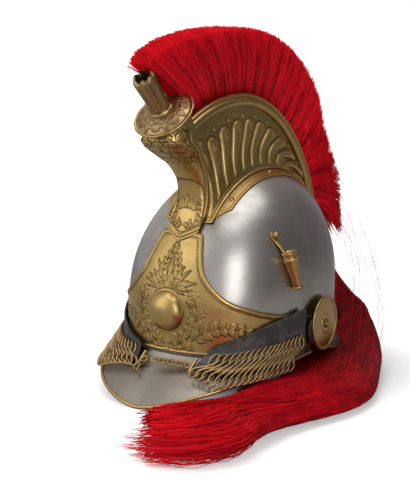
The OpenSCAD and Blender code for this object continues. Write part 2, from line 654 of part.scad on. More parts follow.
mask_rivet_z = plate_top - 4;
mask_rivet_lift = plate_gap + brass_t + 0.4 + mask_t + 0.75;
module at_mask_rivet() stand_on(skull_pt(0, mask_rivet_z), skull_normal(0, mask_rivet_z)) children();
module mask_rivet_hole() at_mask_rivet() translate([0, 0, 0.2]) cylinder(h = 12, r = hole_r);
module mask_rivet() color(brass) at_mask_rivet() {
    translate([0, 0, 0.3]) cylinder(h = mask_rivet_lift, r = screw_r);
    translate([0, 0, mask_rivet_lift]) dome_head(2.4, 1.6);
}

// Side rosettes on the chinstrap's screws
rosette_y = 18.5;
rosette_z = rim_z + 21.5;
rosette_stand = 5.2;
rosette_x = skull_half_width * fill(rosette_z, 0)
    * pow(1 - pow(rosette_y / skull_half_length, plan_power), 1 / plan_power);
module at_rosette(s) mirror([s < 0 ? 1 : 0, 0, 0])
    translate([rosette_x, rosette_y, rosette_z]) rotate([0, 90, rosette_turn]) children();
module rosette_hole(s) at_rosette(s) cylinder(h = 24, r = 2.15, center = true);
module rosette(s) at_rosette(s) translate([0, 0, rosette_stand]) difference() {
    rotate_extrude($fn = 96) polygon([
        [0, 0.2], [rosette_r - 2.4, 0.2], [rosette_r - 1.2, -0.2], [rosette_r, 0.4], [rosette_r, 1.5],
        [rosette_r - 1.4, 2.2], [rosette_r - 3, 1.5], [rosette_r * 0.55, 1.9], [8, 2.6], [0, 2.8]]);
    cylinder(h = 12, r = 2.15, center = true);
}
module left_rosette() color(brass) rosette(1);
module right_rosette() color(brass) rosette(-1);
module rosette_screws() color(old_brass) for (s = [-1, 1]) at_rosette(s) {
    translate([0, 0, -5.3]) cylinder(h = rosette_stand + 8.5, r = 2);
    translate([0, 0, rosette_stand + 3.1]) difference() {
        dome_head(5, 2.4);
        for (k = [0:3]) rotate(k * 45) translate([0, 0, 3]) cube([9, 0.7, 1.6], center = true);
    }
}
module rosette_nuts() color(steel) for (s = [-1, 1]) at_rosette(s)
    translate([0, 0, -steel_t - 3.4]) difference() {
        cylinder(h = 2.6, r = 5, $fn = 6);
        translate([0, 0, -1]) cylinder(h = 5, r = 2.1);
    }

// Tapered plume socket on the left side
plume_mouth = skull_pt(71.5, skull_top - 74, plume_top_r + 1.4);
plume_foot = skull_pt(78.5, skull_top - 111, plume_low_r + 1.6);
plume_axis = unit(plume_foot - plume_mouth);
plume_pin_u = 64.5;
plume_pin_z = skull_top - 61;
plume_normal = skull_normal(plume_pin_u, plume_pin_z);
module plume_hole() stand_on(skull_pt(plume_pin_u, plume_pin_z), plume_normal)
    cylinder(h = 14, r = hole_r, center = true);
module plume_socket() color(brass) difference() {
    union() {
        stand_on(plume_mouth, plume_axis) rotate_extrude($fn = 64) polygon([
            [0, 0], [plume_top_r, 0], [plume_top_r, 2.4], [plume_top_r - 0.9, 3.2], [plume_top_r - 0.9, 7],
            [plume_top_r, 7.8], [plume_top_r - 0.3, 10], [plume_low_r + 0.3, plume_h - 4],
            [plume_low_r - 0.4, plume_h - 3], [plume_low_r + 0.2, plume_h - 1.4],
            [plume_low_r - 1, plume_h], [0, plume_h]]);
        hull() {
            stand_on(skull_pt(plume_pin_u, plume_pin_z, 0) + plume_normal * 0.6, plume_normal)
                cylinder(h = 1.4, r = 5, $fn = 32);
            stand_on(plume_mouth - plume_normal * 4 + plume_axis * 2, plume_normal)
                cylinder(h = 1.4, r = 5, $fn = 32);
        }
    }
    stand_on(plume_mouth - plume_axis * 3, plume_axis) cylinder(h = 30, r = plume_bore_r, $fn = 64);
    plume_hole();
}
module plume_screw() color(old_brass) stand_on(skull_pt(plume_pin_u, plume_pin_z), plume_normal) {
    translate([0, 0, -4]) cylinder(h = 8, r = screw_r);
    translate([0, 0, 6.1]) sphere(r = 3.6);
    translate([0, 0, -steel_t - 2.6]) cylinder(h = 1.8, r = 3);
}

// Leather liner: sweatband, tongues and the lace that gathers them
liner_gap = 5;
liner_t = 1.6;
band_lift = 10;
band_h = 34;
tongues = 8;
tongue_gap = 0.6;
tongue_top = skull_top - 28;
lace_r = 1.2;
module liner_band() color(hide) {
    levels = [for (t = [0, 0.35, 1]) rim_z + band_lift + band_h * t];
    outer = [for (z = levels) [for (j = [0:35]) skull_pt(j * 10, z, -steel_t - liner_gap)]];
    inner = [for (z = levels) [for (j = [0:35]) skull_pt(j * 10, z, -steel_t - liner_gap - liner_t)]];
    sheet(outer, inner, true);
}
module liner_tongues() {
    levels = [for (i = [0:3]) mix(rim_z + band_lift + band_h + tongue_gap, tongue_top, i / 3)];
    function half(i) = (360 / tongues / 2 - 1.2) * (1 - 0.55 * pow(i / 3, 2));
    function skin(k, g) = [for (i = [0:3]) [for (j = [-1:1])
        skull_pt((k + 0.5) * 360 / tongues + half(i) * j, levels[i], g)]];
    color(hide) for (k = [0:tongues - 1])
        sheet(skin(k, -steel_t - liner_gap), skin(k, -steel_t - liner_gap - liner_t));
}
module liner_lace() color("gray") {
    inset = steel_t + liner_gap + liner_t + lace_r + 0.6;
    ring = [for (i = [0:15]) skull_pt(i * 22.5, tongue_top - 2, -inset)];
    wire_loop(ring, [for (p = ring) [0, 0, 1]], lace_r, 5);
}

// Chinstrap: band surface between an upper and a lower edge, u falling from the rosette to the front
mail_top = [[0, 2], [18, 6], [30, 7], [43, 9], [60, 13], [80, 18.5], [100, 22]];
leather_top = [[0, 7], [14, 10], [24, 13], [43, 23], [61, 34], [81, 42], [100, 46]];
low_reach = [[0, 0.5], [18, 0.6], [31, 0.82], [40, 1], [100, 1]];
low_push = [[0, 5.2], [31, 5.7], [40, 6.2], [62, 7.2], [90, 7.7], [100, 8.2]];
low_lift = [[0, 6.8], [31, 5.3], [40, 1.3], [62, -1.7], [75, -6.7], [90, -10.7], [100, -12.7]];
mail_off = 8.2;
function mail_z(u) = rim_z + lookup(u, mail_top);
function leather_z(u) = rim_z + lookup(u, leather_top);
function mail_low(u) =
    let (s = lookup(u, low_reach), p = brim_pt(min(u, 89), s, peak_r, peak_reach - edging_r, -1, peak_end))
    p + lookup(u, low_push) * outward(u) + [0, 0, lookup(u, low_lift)];
function mail_high(u) = skull_pt(u, mail_z(u), mail_off);
function band_pt(u, q) = mix(mail_high(u), mail_low(u), q);
function band_normal(u, q) = unit(cross(band_pt(u + 1, q) - band_pt(u - 1, q), mail_high(u) - mail_low(u)));
function leather_pt(u, k, g) =
    k == 0 ? skull_pt(u, leather_z(u), skin_gap + brass_t + 0.6 + g)
    : k == 1 ? let (z = mix(leather_z(u), mail_z(u), 0.6))
        skull_pt(u, z, skin_gap + brass_t + 1.2 + g)
    : k == 2 ? band_pt(u, 0.08) - band_normal(u, 0.08) * (5.7 - g)
    : band_pt(u, 0.55) - band_normal(u, 0.55) * (5.3 - g);
module leather(u0, u1) {
    steps = 8;
    us = [for (i = [0:steps]) mix(u1, u0, i / steps)];
    outer = [for (k = [3:-1:0]) [for (u = us) leather_pt(u, k, leather_t)]];
    inner = [for (k = [3:-1:0]) [for (u = us) leather_pt(u, k, 0)]];
    sheet(outer, inner);
}
tab_end = 84;
fold_u = 52;
left_end = 20;
right_end = 12;
strap_gap = 1.2;

// Curb links: each is a wire loop across the band, waisted in the middle, whose lobes are
// threaded through its neighbours' lobes
lobe_at = 0.55;
lobe_half = 0.69 * link_pitch;
waist_half = 0.19 * link_pitch;
weave = 1.8 * wire_r;
weave_turn = 0.62;
weave_end = 0.4;
link_slant = 2.6;
link_points = 20;
function link_half(h) = h > lobe_at
    ? lobe_half * sqrt(max(0, 1 - pow((h - lobe_at) / (1 - lobe_at), 2)))
    : mix(waist_half, lobe_half, ease(h / lobe_at));
function link_lift(t) =
    let (h = abs(sin(t)))
    sign(sin(t)) * sign(cos(t)) * weave * (h < weave_turn ? 1 : -1) * min(1, abs(cos(t)) / weave_end);
function step_mm(u) = norm(band_pt(u + 0.5, 0.5) - band_pt(u - 0.5, 0.5));
function link_pt(u, t) =
    let (
        y = sin(t),
        x = sgn_pow(cos(t), 0.01) * link_half(abs(y)) + link_slant * y,
        v = u + x / step_mm(u),
        q = 0.5 - 0.47 * y)
    band_pt(v, q) + band_normal(v, q) * link_lift(t);
function link_places(u, last) = u < last ? [] : concat([u], link_places(u - link_pitch / step_mm(u), last));
link_turns = [for (k = [0:link_points - 1]) (k + 0.5) * 360 / link_points];
module links(u0, u1) {
    for (u = link_places(u0, u1))
        wire_loop([for (t = link_turns) link_pt(u, t)], [for (t = link_turns) band_normal(u, 0.5)],
            wire_r, 4);
}
module side(s) mirror([s < 0 ? 1 : 0, 0, 0]) children();
module strap_tab(s) color(hide) side(s) difference() {
    hull() {
        translate([rosette_x, rosette_y, rosette_z]) rotate([0, 90, rosette_turn])
            translate([0, 0, 2.4]) cylinder(h = leather_t, r = 13, $fn = 32);
        translate([rosette_x, rosette_y, rosette_z]) rotate([0, 90, rosette_turn])
            translate([3, -21, 2.4]) cylinder(h = leather_t, r = 11, $fn = 32);
    }
    translate([rosette_x, rosette_y, rosette_z]) rotate([0, 90, rosette_turn])
        cylinder(h = 30, r = 2.1, center = true);
}
module left_strap_tab() strap_tab(1);
module right_strap_tab() strap_tab(-1);
module left_strap_rear() color(hide) leather(tab_end, fold_u + strap_gap);
module right_strap_rear() color(hide) side(-1) leather(tab_end, fold_u + strap_gap);
module left_strap_front() color(hide) leather(fold_u - strap_gap, left_end);
module right_strap_front() color(hide) side(-1) leather(fold_u - strap_gap, right_end);
module left_rear_links() color(old_brass) links(tab_end - 3, fold_u + 5);
module right_rear_links() color(old_brass) side(-1) links(tab_end - 3, fold_u + 5);
module left_front_links() color(old_brass) links(fold_u - 4.5, left_end);
module right_front_links() color(old_brass) side(-1) links(fold_u - 4.5, right_end + 3);

// Strap ends: a bar across the leather with an eye, the rings of the closing chain and the hook
bar_r = 1.5;
bar_half = 9;
bar_drop = 4.3;
bar_q = 0.36;
ring_r = 3.3;
ring_wire = 0.8;
ring_pitch = 4.7;
chain_end = [-4, 34 - peak_reach, rim_z - 2];
function forward(u) = unit(band_pt(u - 1, bar_q) - band_pt(u + 1, bar_q));
function bar_mid(u) = band_pt(u, bar_q) + forward(u) * (bar_r + 0.4) - band_normal(u, bar_q) * bar_drop;
function eye_mid(u) = bar_mid(u) + forward(u) * (bar_r + ring_r - 0.4);
function down_band(u) = unit(mail_low(u) - mail_high(u));
module ring(p, n) stand_on(p, n) rotate_extrude($fn = 32) translate([ring_r, 0])
    circle(r = ring_wire, $fn = 16);
module strap_end(u) color(brass) union() {
    stand_on(bar_mid(u) - down_band(u) * bar_half, down_band(u)) cylinder(h = 2 * bar_half, r = bar_r);
    ring(eye_mid(u), band_normal(u, bar_q));
}
module left_strap_bar() strap_end(left_end);
module right_strap_bar() side(-1) strap_end(right_end);
chain_start = eye_mid(left_end);
chain_dir = unit(chain_end - chain_start);
chain_across = unit(cross(band_normal(left_end, bar_q), chain_dir));
module ring_chain() color(old_brass)
    for (k = [1:floor(norm(chain_end - chain_start) / ring_pitch)])
        ring(chain_start + chain_dir * ring_pitch * k,
            k % 2 == 1 ? chain_across : cross(chain_dir, chain_across));
hook_len = 9;
hook_curl = 2.6;
hook_top = eye_mid(right_end) + down_band(right_end) * (ring_r + 0.9) + band_normal(right_end, bar_q) * 1.1;
module strap_hook() color(old_brass) side(-1) {
    ring(hook_top, forward(right_end));
    translate(hook_top) multmatrix(hook_frame) {
        translate([ring_r, 0, 0]) rotate([0, 90, 0]) cylinder(h = hook_len, r = ring_wire, $fn = 16);
        translate([ring_r + hook_len, hook_curl, 0]) rotate([0, 0, -90])
            rotate_extrude(angle = 200, $fn = 32) translate([hook_curl, 0]) circle(r = ring_wire, $fn = 16);
    }
}
hook_x = down_band(right_end);
hook_z = forward(right_end);
hook_y = cross(hook_z, hook_x);
hook_frame = [for (k = [0:2]) [hook_x[k], hook_y[k], hook_z[k], 0]];

skull_shell();
front_plate();
visor();
visor_trim();
neck_guard();
neck_guard_trim();
crest_left_side();
crest_right_side();
crest_rim();
crest_mask();
tuft_disc();
tuft_socket();
brush_base();
crest_brush();
mane_block();
mane();
plume_socket();
plume_screw();
left_rosette();
right_rosette();
rosette_screws();
rosette_nuts();
crest_screws();
crest_nuts();
visor_rivets();
neck_guard_rivets();
mask_rivet();
liner_band();
liner_tongues();
liner_lace();
left_strap_tab();
left_strap_rear();
left_rear_links();
left_strap_front();
left_front_links();
left_strap_bar();
ring_chain();
right_strap_tab();
right_strap_rear();
right_rear_links();
right_strap_front();
right_front_links();
right_strap_bar();
strap_hook();
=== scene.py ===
# %% [markdown]
# # A cuirassier helmet
# The helmet is a steel skull dressed in embossed brass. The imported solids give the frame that
# everything sits in, and this lesson gives each piece the shape and the finish of the real one.

# %% The frame
import math

import bmesh
import bpy
import numpy as np
from mathutils import Matrix, Vector


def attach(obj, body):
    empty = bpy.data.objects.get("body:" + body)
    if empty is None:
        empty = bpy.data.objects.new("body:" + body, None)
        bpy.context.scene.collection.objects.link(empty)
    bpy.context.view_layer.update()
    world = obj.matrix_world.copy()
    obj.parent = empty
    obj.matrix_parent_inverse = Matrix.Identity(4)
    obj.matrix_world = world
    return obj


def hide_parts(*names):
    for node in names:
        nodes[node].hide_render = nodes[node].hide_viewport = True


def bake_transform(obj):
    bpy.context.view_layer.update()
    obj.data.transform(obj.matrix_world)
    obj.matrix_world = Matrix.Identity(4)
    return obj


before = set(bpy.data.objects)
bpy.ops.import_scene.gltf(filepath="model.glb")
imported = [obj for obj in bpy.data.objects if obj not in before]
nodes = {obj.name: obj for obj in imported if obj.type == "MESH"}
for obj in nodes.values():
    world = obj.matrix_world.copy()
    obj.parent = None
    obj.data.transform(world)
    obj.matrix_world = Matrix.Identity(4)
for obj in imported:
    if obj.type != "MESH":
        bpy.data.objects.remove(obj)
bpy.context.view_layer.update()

# %% [markdown]
# The camera comes first, because every later choice is judged through it. It stands 1.84 metres
# away, 37 degrees round to the wearer's left and 11 degrees up, and is moved sideways, not
# shifted, until the helmet falls on the right spot of the picture.

# %% The camera
turn, lift, far = math.radians(37), math.radians(11), 1.841
to_camera = Vector((math.sin(turn) * math.cos(lift), -math.cos(turn) * math.cos(lift), math.sin(lift)))
right = Vector((math.cos(turn), math.sin(turn), 0))
upward = to_camera.cross(right)
pixel, picture_high, sensor = 1 / 950, 497, 36
aim, left_by, up_by = Vector((0, 0, 0.0972)), 28 * pixel, 36.5 * pixel
place = aim + far * to_camera - left_by * right + up_by * upward
camera_data = bpy.data.cameras.new("camera")
camera = bpy.data.objects.new("camera", camera_data)
bpy.context.scene.collection.objects.link(camera)
camera.location = place
camera.rotation_euler = to_camera.to_track_quat("Z", "Y").to_euler()
camera_data.sensor_fit = "VERTICAL"
camera_data.sensor_height = sensor
camera_data.lens = sensor * far / (picture_high * pixel)
bpy.context.scene.camera = camera
print("camera at", tuple(round(c, 3) for c in place), "lens", round(camera_data.lens, 1))

# %% [markdown]
# Every material and the studio itself are node trees, so a few short helpers come before them. In
# each, `n` and `l` are the nodes and links of the tree that it adds to.

# %% Helpers for nodes
def new_material(name):
    mat = bpy.data.materials.new(name)
    mat.use_nodes = True
    tree = mat.node_tree
    tree.nodes.clear()
    return mat, tree.nodes, tree.links


def shaded(name):
    """A new material with one Principled shader on its surface."""
    mat, n, l = new_material(name)
    shader = n.new("ShaderNodeBsdfPrincipled")
    end = n.new("ShaderNodeOutputMaterial")
    l.new(shader.outputs[0], end.inputs["Surface"])
    return mat, n, l, shader


def set_socket(l, socket, value):
    """Links another node's output to a socket, or writes a plain value into it."""
    if isinstance(value, (tuple, float)):
        socket.default_value = value
    else:
        l.new(value, socket)


def noise(n, scale, detail=4.0, rough=0.6):
    tex = n.new("ShaderNodeTexNoise")
    for label, value in (("Scale", scale), ("Detail", detail), ("Roughness", rough)):
        tex.inputs[label].default_value = value
    return tex


def band(n, l, value, low, high, to_low=0.0, to_high=1.0):
    """Stretches the part of a value between low and high."""
    fit = n.new("ShaderNodeMapRange")
    for label, limit in (("From Min", low), ("From Max", high), ("To Min", to_low), ("To Max", to_high)):
        fit.inputs[label].default_value = limit
    l.new(value, fit.inputs["Value"])
    return fit.outputs[0]


def blend_colour(n, l, amount, one, two, mode="MIX"):
    node = n.new("ShaderNodeMix")
    node.data_type = "RGBA"
    node.blend_type = mode
    for socket, value in zip((node.inputs[0], node.inputs[6], node.inputs[7]), (amount, one, two)):
        set_socket(l, socket, value)
    return node.outputs[2]


def sums(n, l, kind, one, two):
    node = n.new("ShaderNodeMath")
    node.operation = kind
    set_socket(l, node.inputs[0], one)
    set_socket(l, node.inputs[1], two)
    return node.outputs[0]


def attribute(n, name):
    node = n.new("ShaderNodeAttribute")
    node.attribute_name = name
    return node


def bump(n, l, shader, height, strength, distance):
    """A height that roughens a shader's surface."""
    grain = n.new("ShaderNodeBump")
    grain.inputs["Strength"].default_value = strength
    grain.inputs["Distance"].default_value = distance
    l.new(height, grain.inputs["Height"])
    l.new(grain.outputs[0], shader.inputs["Normal"])

# %% [markdown]
# Polished metal shows the room it stands in, so the room matters as much as the lamps. It is light
# above and to the viewer's left, where a tall soft lamp stands, and dark to the right, which gives
# the steel its shaded side. A second lamp stands beside the camera and a third hangs overhead. What
# the camera sees behind and below the helmet stays white.

# %% The studio
scene = bpy.context.scene
scene.view_settings.view_transform = "Standard"
world = bpy.data.worlds.new("studio")
scene.world = world
world.use_nodes = True
wn, wl = world.node_tree.nodes, world.node_tree.links
wn.clear()
sky = wn.new("ShaderNodeTexCoord")


def along_direction(way, levels):
    """A grey ramp that follows how far a direction points along `way`."""
    dot = wn.new("ShaderNodeVectorMath")
    dot.operation = "DOT_PRODUCT"
    wl.new(sky.outputs["Generated"], dot.inputs[0])
    dot.inputs[1].default_value = way
    ramp = wn.new("ShaderNodeValToRGB")
    for k, (spot, level) in enumerate(levels):
        stop = ramp.color_ramp.elements[k] if k < 2 else ramp.color_ramp.elements.new(spot)
        stop.position, stop.color = spot, (level, level, level, 1)
    wl.new(band(wn, wl, dot.outputs["Value"], -1, 1), ramp.inputs[0])
    return ramp.outputs[0]


sideways = along_direction(tuple(right), [(0.0, 0.8), (1.0, 0.2), (0.35, 0.85), (0.6, 0.7), (0.8, 0.3)])
height = along_direction((0, 0, 1), [(0.0, 0.4), (1.0, 0.85), (0.5, 0.8), (0.75, 0.8)])
room = wn.new("ShaderNodeBackground")
room.inputs["Strength"].default_value = 0.8
wl.new(blend_colour(wn, wl, 1.0, sideways, height, "MULTIPLY"), room.inputs["Color"])
white = wn.new("ShaderNodeBackground")
white.inputs["Color"].default_value = (1, 1, 1, 1)
rays = wn.new("ShaderNodeLightPath")
pick = wn.new("ShaderNodeMixShader")
wl.new(rays.outputs["Is Camera Ray"], pick.inputs[0])
wl.new(room.outputs[0], pick.inputs[1])
wl.new(white.outputs[0], pick.inputs[2])
world_out = wn.new("ShaderNodeOutputWorld")
wl.new(pick.outputs[0], world_out.inputs["Surface"])


def soft_lamp(name, where, size, power):
    """A rectangular lamp, in metres and watts, that faces the helmet's middle."""
    data = bpy.data.lights.new(name, "AREA")
    data.shape = "RECTANGLE"
    data.size, data.size_y, data.energy = size[0], size[1], power
    lamp = bpy.data.objects.new(name, data)
    scene.collection.objects.link(lamp)
    lamp.location = where
    lamp.rotation_euler = (Vector(where) - lamp_aim).to_track_quat("Z", "Y").to_euler()


lamp_aim = Vector((0, 0, 0.15))
soft_lamp("key_lamp", (-0.85, -1.25, 0.95), (1.3, 1.7), 6.5)
soft_lamp("front_lamp", (1.56, -1.40, 0.80), (0.8, 1.8), 12)
soft_lamp("top_lamp", (0.0, 0.0, 1.5), (1.3, 1.3), 9)

# %% [markdown]
# The floor lights itself a little for the camera, so that it stays as pale as in the photograph, and
# is dimmed close under the helmet. In the metal's reflections it is a plain grey.

# %% The floor
floor_mesh = bpy.data.meshes.new("floor")
bm = bmesh.new()
bmesh.ops.create_grid(bm, x_segments=1, y_segments=1, size=6)
bm.to_mesh(floor_mesh)
bm.free()
floor = bpy.data.objects.new("floor", floor_mesh)
scene.collection.objects.link(floor)
mat, n, l = new_material("pale_floor")
paint = n.new("ShaderNodeBsdfPrincipled")
paint.inputs["Base Color"].default_value = (0.9, 0.9, 0.9, 1)
paint.inputs["Roughness"].default_value = 0.9
where = n.new("ShaderNodeTexCoord")
far_off = n.new("ShaderNodeVectorMath")
far_off.operation = "LENGTH"
l.new(where.outputs["Object"], far_off.inputs[0])
fade = band(n, l, far_off.outputs["Value"], 0.25, 1.3, 0.42, 1.0)
under = n.new("ShaderNodeVectorMath")
under.operation = "DISTANCE"
under.inputs[1].default_value = (0.02, 0.05, 0)
l.new(where.outputs["Object"], under.inputs[0])
# painted shadow: the floor's glow fades out close under the helmet
painted_shadow = band(n, l, under.outputs["Value"], 0.09, 0.18, 0.04, 1.0)
glow = n.new("ShaderNodeEmission")
l.new(sums(n, l, "MULTIPLY", fade, painted_shadow), glow.inputs["Strength"])
lit = n.new("ShaderNodeAddShader")
dim = n.new("ShaderNodeBsdfDiffuse")
dim.inputs["Color"].default_value = (0.42, 0.41, 0.40, 1)
seen = n.new("ShaderNodeLightPath")
either = n.new("ShaderNodeMixShader")
end = n.new("ShaderNodeOutputMaterial")
l.new(paint.outputs[0], lit.inputs[0])
l.new(glow.outputs[0], lit.inputs[1])
l.new(seen.outputs["Is Camera Ray"], either.inputs[0])
l.new(dim.outputs[0], either.inputs[1])
l.new(lit.outputs[0], either.inputs[2])
l.new(either.outputs[0], end.inputs["Surface"])
floor_mesh.materials.append(mat)
print("studio:", len(bpy.data.lights), "lamps and a floor")

# %% [markdown]
# The helmet is a family of sheets that all follow one skull. These are the same curves that the
# solids were made from, in millimetres: `skull_at` is the skull grown outwards by any gap,
# `ridge_at` is the crest's ridge, and `brim_at` is the sheet of the peak or of the neck guard.

# %% Curves of the helmet
MM = 0.001
half_len, half_wide, top_z, wide_z, rim_z = 112.0, 98.0, 224.0, 97.0, 46.0
plan, crown = 2.3, 2.05
low_pinch, crown_lean = 0.05, 19
ridge_front, ridge_back, ridge_h, ridge_y, ridge_z = 184.0, 153.0, 191.5, -10, 110
corner, corner_turn, edge_low, edge_rise, brim_arch = 62, 80, 2.3, 28, 3
steel_t, skin_gap, brass_t, plate_gap = 1.2, 0.5, 1.0, 0.8


def spow(v, p):
    return np.sign(v) * np.abs(v) ** p


def mix(a, b, t):
    return a + (b - a) * t


def ease(t):
    t = np.clip(t, 0, 1)
    return t * t * (3 - 2 * t)


def unit(v):
    return v / np.maximum(np.linalg.norm(v, axis=-1, keepdims=True), 1e-12)


def xyz(x, y, z):
    return np.stack(np.broadcast_arrays(x, y, z), axis=-1).astype(float)


def line_at(distance, width):
    """1 on a line and falling off smoothly to its sides, as an engraved line does."""
    return np.exp(-(distance / width) ** 2)


def dome(distance, r):
    """The height of a half round of radius r, as a share of its top."""
    return np.sqrt(np.clip(1 - (distance / r) ** 2, 0, 1))


def crown_part(z, g):
    """0 at the skull's widest height and 1 at its top."""
    return np.clip((z - wide_z) / (top_z + g - wide_z), 0, 1)


def fill(z, g=0.0):
    """The skull's plan at a height, as a share of its widest plan."""
    up = np.maximum(0, 1 - crown_part(z, g) ** crown) ** (1 / crown)
    return np.where(z >= wide_z, up, 1 - low_pinch * ((wide_z - z) / wide_z) ** 2)


def lean(z, g=0.0):
    """How far the plan at a height lies behind the rim's."""
    return crown_lean * crown_part(z, g) ** 1.3


def skull_at(u, z, g=0.0):
    """Point on the skull, grown by g: u turns from the front (0) to the wearer's left (90)."""
    a = np.radians(u)
    z = np.asarray(z, float)
    return xyz((half_wide + g) * fill(z, g) * spow(np.sin(a), 2 / plan),
               lean(z, g) - (half_len + g) * fill(z, g) * spow(np.cos(a), 2 / plan), z)


def outward(u):
    """Level direction away from the skull's rim."""
    a, b = skull_at(u + 1, rim_z), skull_at(u - 1, rim_z)
    d = a - b
    return unit(xyz(-d[..., 1], d[..., 0], 0 * d[..., 0]) * -1)


def on_skull(x, y, g):
    """Height of the skull, grown by g, above a point of the plan."""
    lo, hi = np.full(np.shape(x), wide_z), np.full(np.shape(x), top_z + g)
    for _ in range(30):
        m = (lo + hi) / 2
        f = np.maximum(fill(m, g), 1e-4)
        inside = ((np.abs(x) / ((half_wide + g) * f)) ** plan
                  + (np.abs(y - lean(m, g)) / ((half_len + g) * f)) ** plan) < 1
        lo, hi = np.where(inside, m, lo), np.where(inside, hi, m)
    return xyz(x, y, (lo + hi) / 2)


def ridge_at(a, x, n=0.0):
    """Point of the crest's ridge at angle a, moved sideways by x and outwards by n."""
    r = np.radians(a)
    w = np.where(np.cos(r) > 0, ridge_front, ridge_back)
    out = unit(xyz(0, -np.cos(r) / w, np.sin(r) / ridge_h))
    spot = xyz(x, ridge_y - w * np.cos(r), ridge_z + ridge_h * np.sin(r))
    return spot + np.asarray(n, float)[..., None] * out


def free_edge(v, r, reach, face, last):
    """The free edge of the peak or guard: an arc round to its corners, then straight to the rim."""
    s = np.where(v < 0, -1.0, 1.0)
    a = np.radians(s * np.minimum(np.abs(v), corner) * corner_turn / corner)
    near = xyz(r * np.sin(a), face * (reach - r + r * np.cos(a)),
               edge_low + edge_rise * np.abs(np.sin(a)) ** 1.5)
    seam = s * last if face < 0 else 180 - s * last
    stop = skull_at(seam, rim_z, 3.0) - np.array([0, 0, 5.0])
    t = np.clip((np.abs(v) - corner) / (last - corner), 0, 1)[..., None]
    return mix(near, stop, t)


def brim_at(v, s, r, reach, face, last):
    """Point of the peak or guard: s goes from 0 at the skull's rim to 1 at the free edge."""
    u = v if face < 0 else 180 - v
    a = skull_at(u, rim_z - 2, -steel_t - skin_gap)
    e = free_edge(v, r, reach, face, last)
    arch = brim_arch * np.minimum(1, np.linalg.norm(e - a, axis=-1) / 40)
    return mix(a, e, np.asarray(s)[..., None]) + xyz(0, 0, arch * np.sin(np.pi * s))


peak = (93.0, 162.8, -1, 90.0)
guard = (92.0, 145.8, 1, 82.0)


def lookup(x, table):
    xs, ys = zip(*table)
    return np.interp(x, xs, ys)


print("crown at", skull_at(0.0, top_z - 0.01)[2], "ridge at", ridge_at(90.0, 0.0)[2])

# %% [markdown]
# Most pieces start as a flat grid that is bent onto one of those curves. The bend runs over all
# the corner points at once. Where only the edge of a sheet shows its thickness, the free border is
# extruded inwards, and the other sheets get a full wall from Solidify.

# %% Helpers for sheets
def finish_mesh(bm, name, mats, smooth=True):
    mesh = bpy.data.meshes.new(name)
    bm.to_mesh(mesh)
    bm.free()
    for m in mats:
        mesh.materials.append(m)
    if smooth:
        mesh.polygons.foreach_set("use_smooth", [True] * len(mesh.polygons))
    obj = bpy.data.objects.new(name, mesh)
    scene.collection.objects.link(obj)
    return obj


def keep_attribute(obj, name, values):
    """One number for each point of a mesh, for its material to read."""
    layer = obj.data.attributes.new(name, "FLOAT", "POINT")
    layer.data.foreach_set("value", np.asarray(values, np.float32))


def bent_grid(name, nu, nv, shape, mats, wall=0.0, merge=False, flip=False, hollow=None):
    """A grid bent by shape(u, v) with u and v from 0 to 1, with a wall along its border."""
    bm = bmesh.new()
    bmesh.ops.create_grid(bm, x_segments=nu, y_segments=nv, size=1)
    flat = np.array([v.co[:2] for v in bm.verts]) / 2 + 0.5
    spots = shape(flat[:, 0], flat[:, 1]) * MM
    for v, p in zip(bm.verts, spots):
        v.co = p
    if hollow:
        layer = bm.verts.layers.float.new("hollow")
        for v, s in zip(bm.verts, hollow(flat[:, 0], flat[:, 1])):
            v[layer] = s
    if merge:
        bmesh.ops.remove_doubles(bm, verts=bm.verts, dist=1e-5)
    if flip:
        bmesh.ops.reverse_faces(bm, faces=bm.faces)
    if wall:
        bm.normal_update()
        rim = [e for e in bm.edges if e.is_boundary]
        made = bmesh.ops.extrude_edge_only(bm, edges=rim)["geom"]
        for v in [g for g in made if isinstance(g, bmesh.types.BMVert)]:
            v.co -= v.normal * wall * MM
    return finish_mesh(bm, name, mats)


def thick(obj, amount, offset=-1.0):
    """Gives a single sheet its thickness with a Solidify modifier."""
    mod = obj.modifiers.new("wall", "SOLIDIFY")
    mod.thickness = amount * MM
    mod.offset = offset
    return obj


def outward_faces(obj, close=False):
    """Turns a closed piece's faces outwards, after filling its open ends if that is asked."""
    bm = bmesh.new()
    bm.from_mesh(obj.data)
    if close:
        bmesh.ops.holes_fill(bm, edges=bm.edges)
    bmesh.ops.recalc_face_normals(bm, faces=bm.faces)
    bm.to_mesh(obj.data)
    bm.free()
    return obj


def applied(obj):
    """Turns the modifiers into mesh, for a piece that is bent or counted afterwards."""
    graph = bpy.context.evaluated_depsgraph_get()
    full = bpy.data.meshes.new_from_object(obj.evaluated_get(graph))
    obj.modifiers.clear()
    plain, obj.data = obj.data, full
    name = plain.name
    bpy.data.meshes.remove(plain)
    full.name = name
    return obj


def place_piece(obj, body, slot, *stands_for):
    """Puts a piece on its body and hides the nodes that it stands for; `slot` is not used."""
    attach(obj, body)
    if stands_for:
        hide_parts(*stands_for)
    print(obj.name, len(obj.data.polygons), "faces on", body)
    return obj

# %% [markdown]
# Brass, steel, leather and horsehair are the four finishes. Effects that several of them share are
# small node groups: `tarnish` darkens patches and what an attribute calls hollow, and `scratches`
# gives fine lines that run one way.

# %% Shared effects
def new_group(name, inputs, outputs):
    group = bpy.data.node_groups.new(name, "ShaderNodeTree")
    for kind, label, value in inputs:
        sock = group.interface.new_socket(label, in_out="INPUT", socket_type=kind)
        sock.default_value = value
    for kind, label in outputs:
        group.interface.new_socket(label, in_out="OUTPUT", socket_type=kind)
    gn, gl = group.nodes, group.links
    return group, gn, gl, gn.new("NodeGroupInput"), gn.new("NodeGroupOutput")


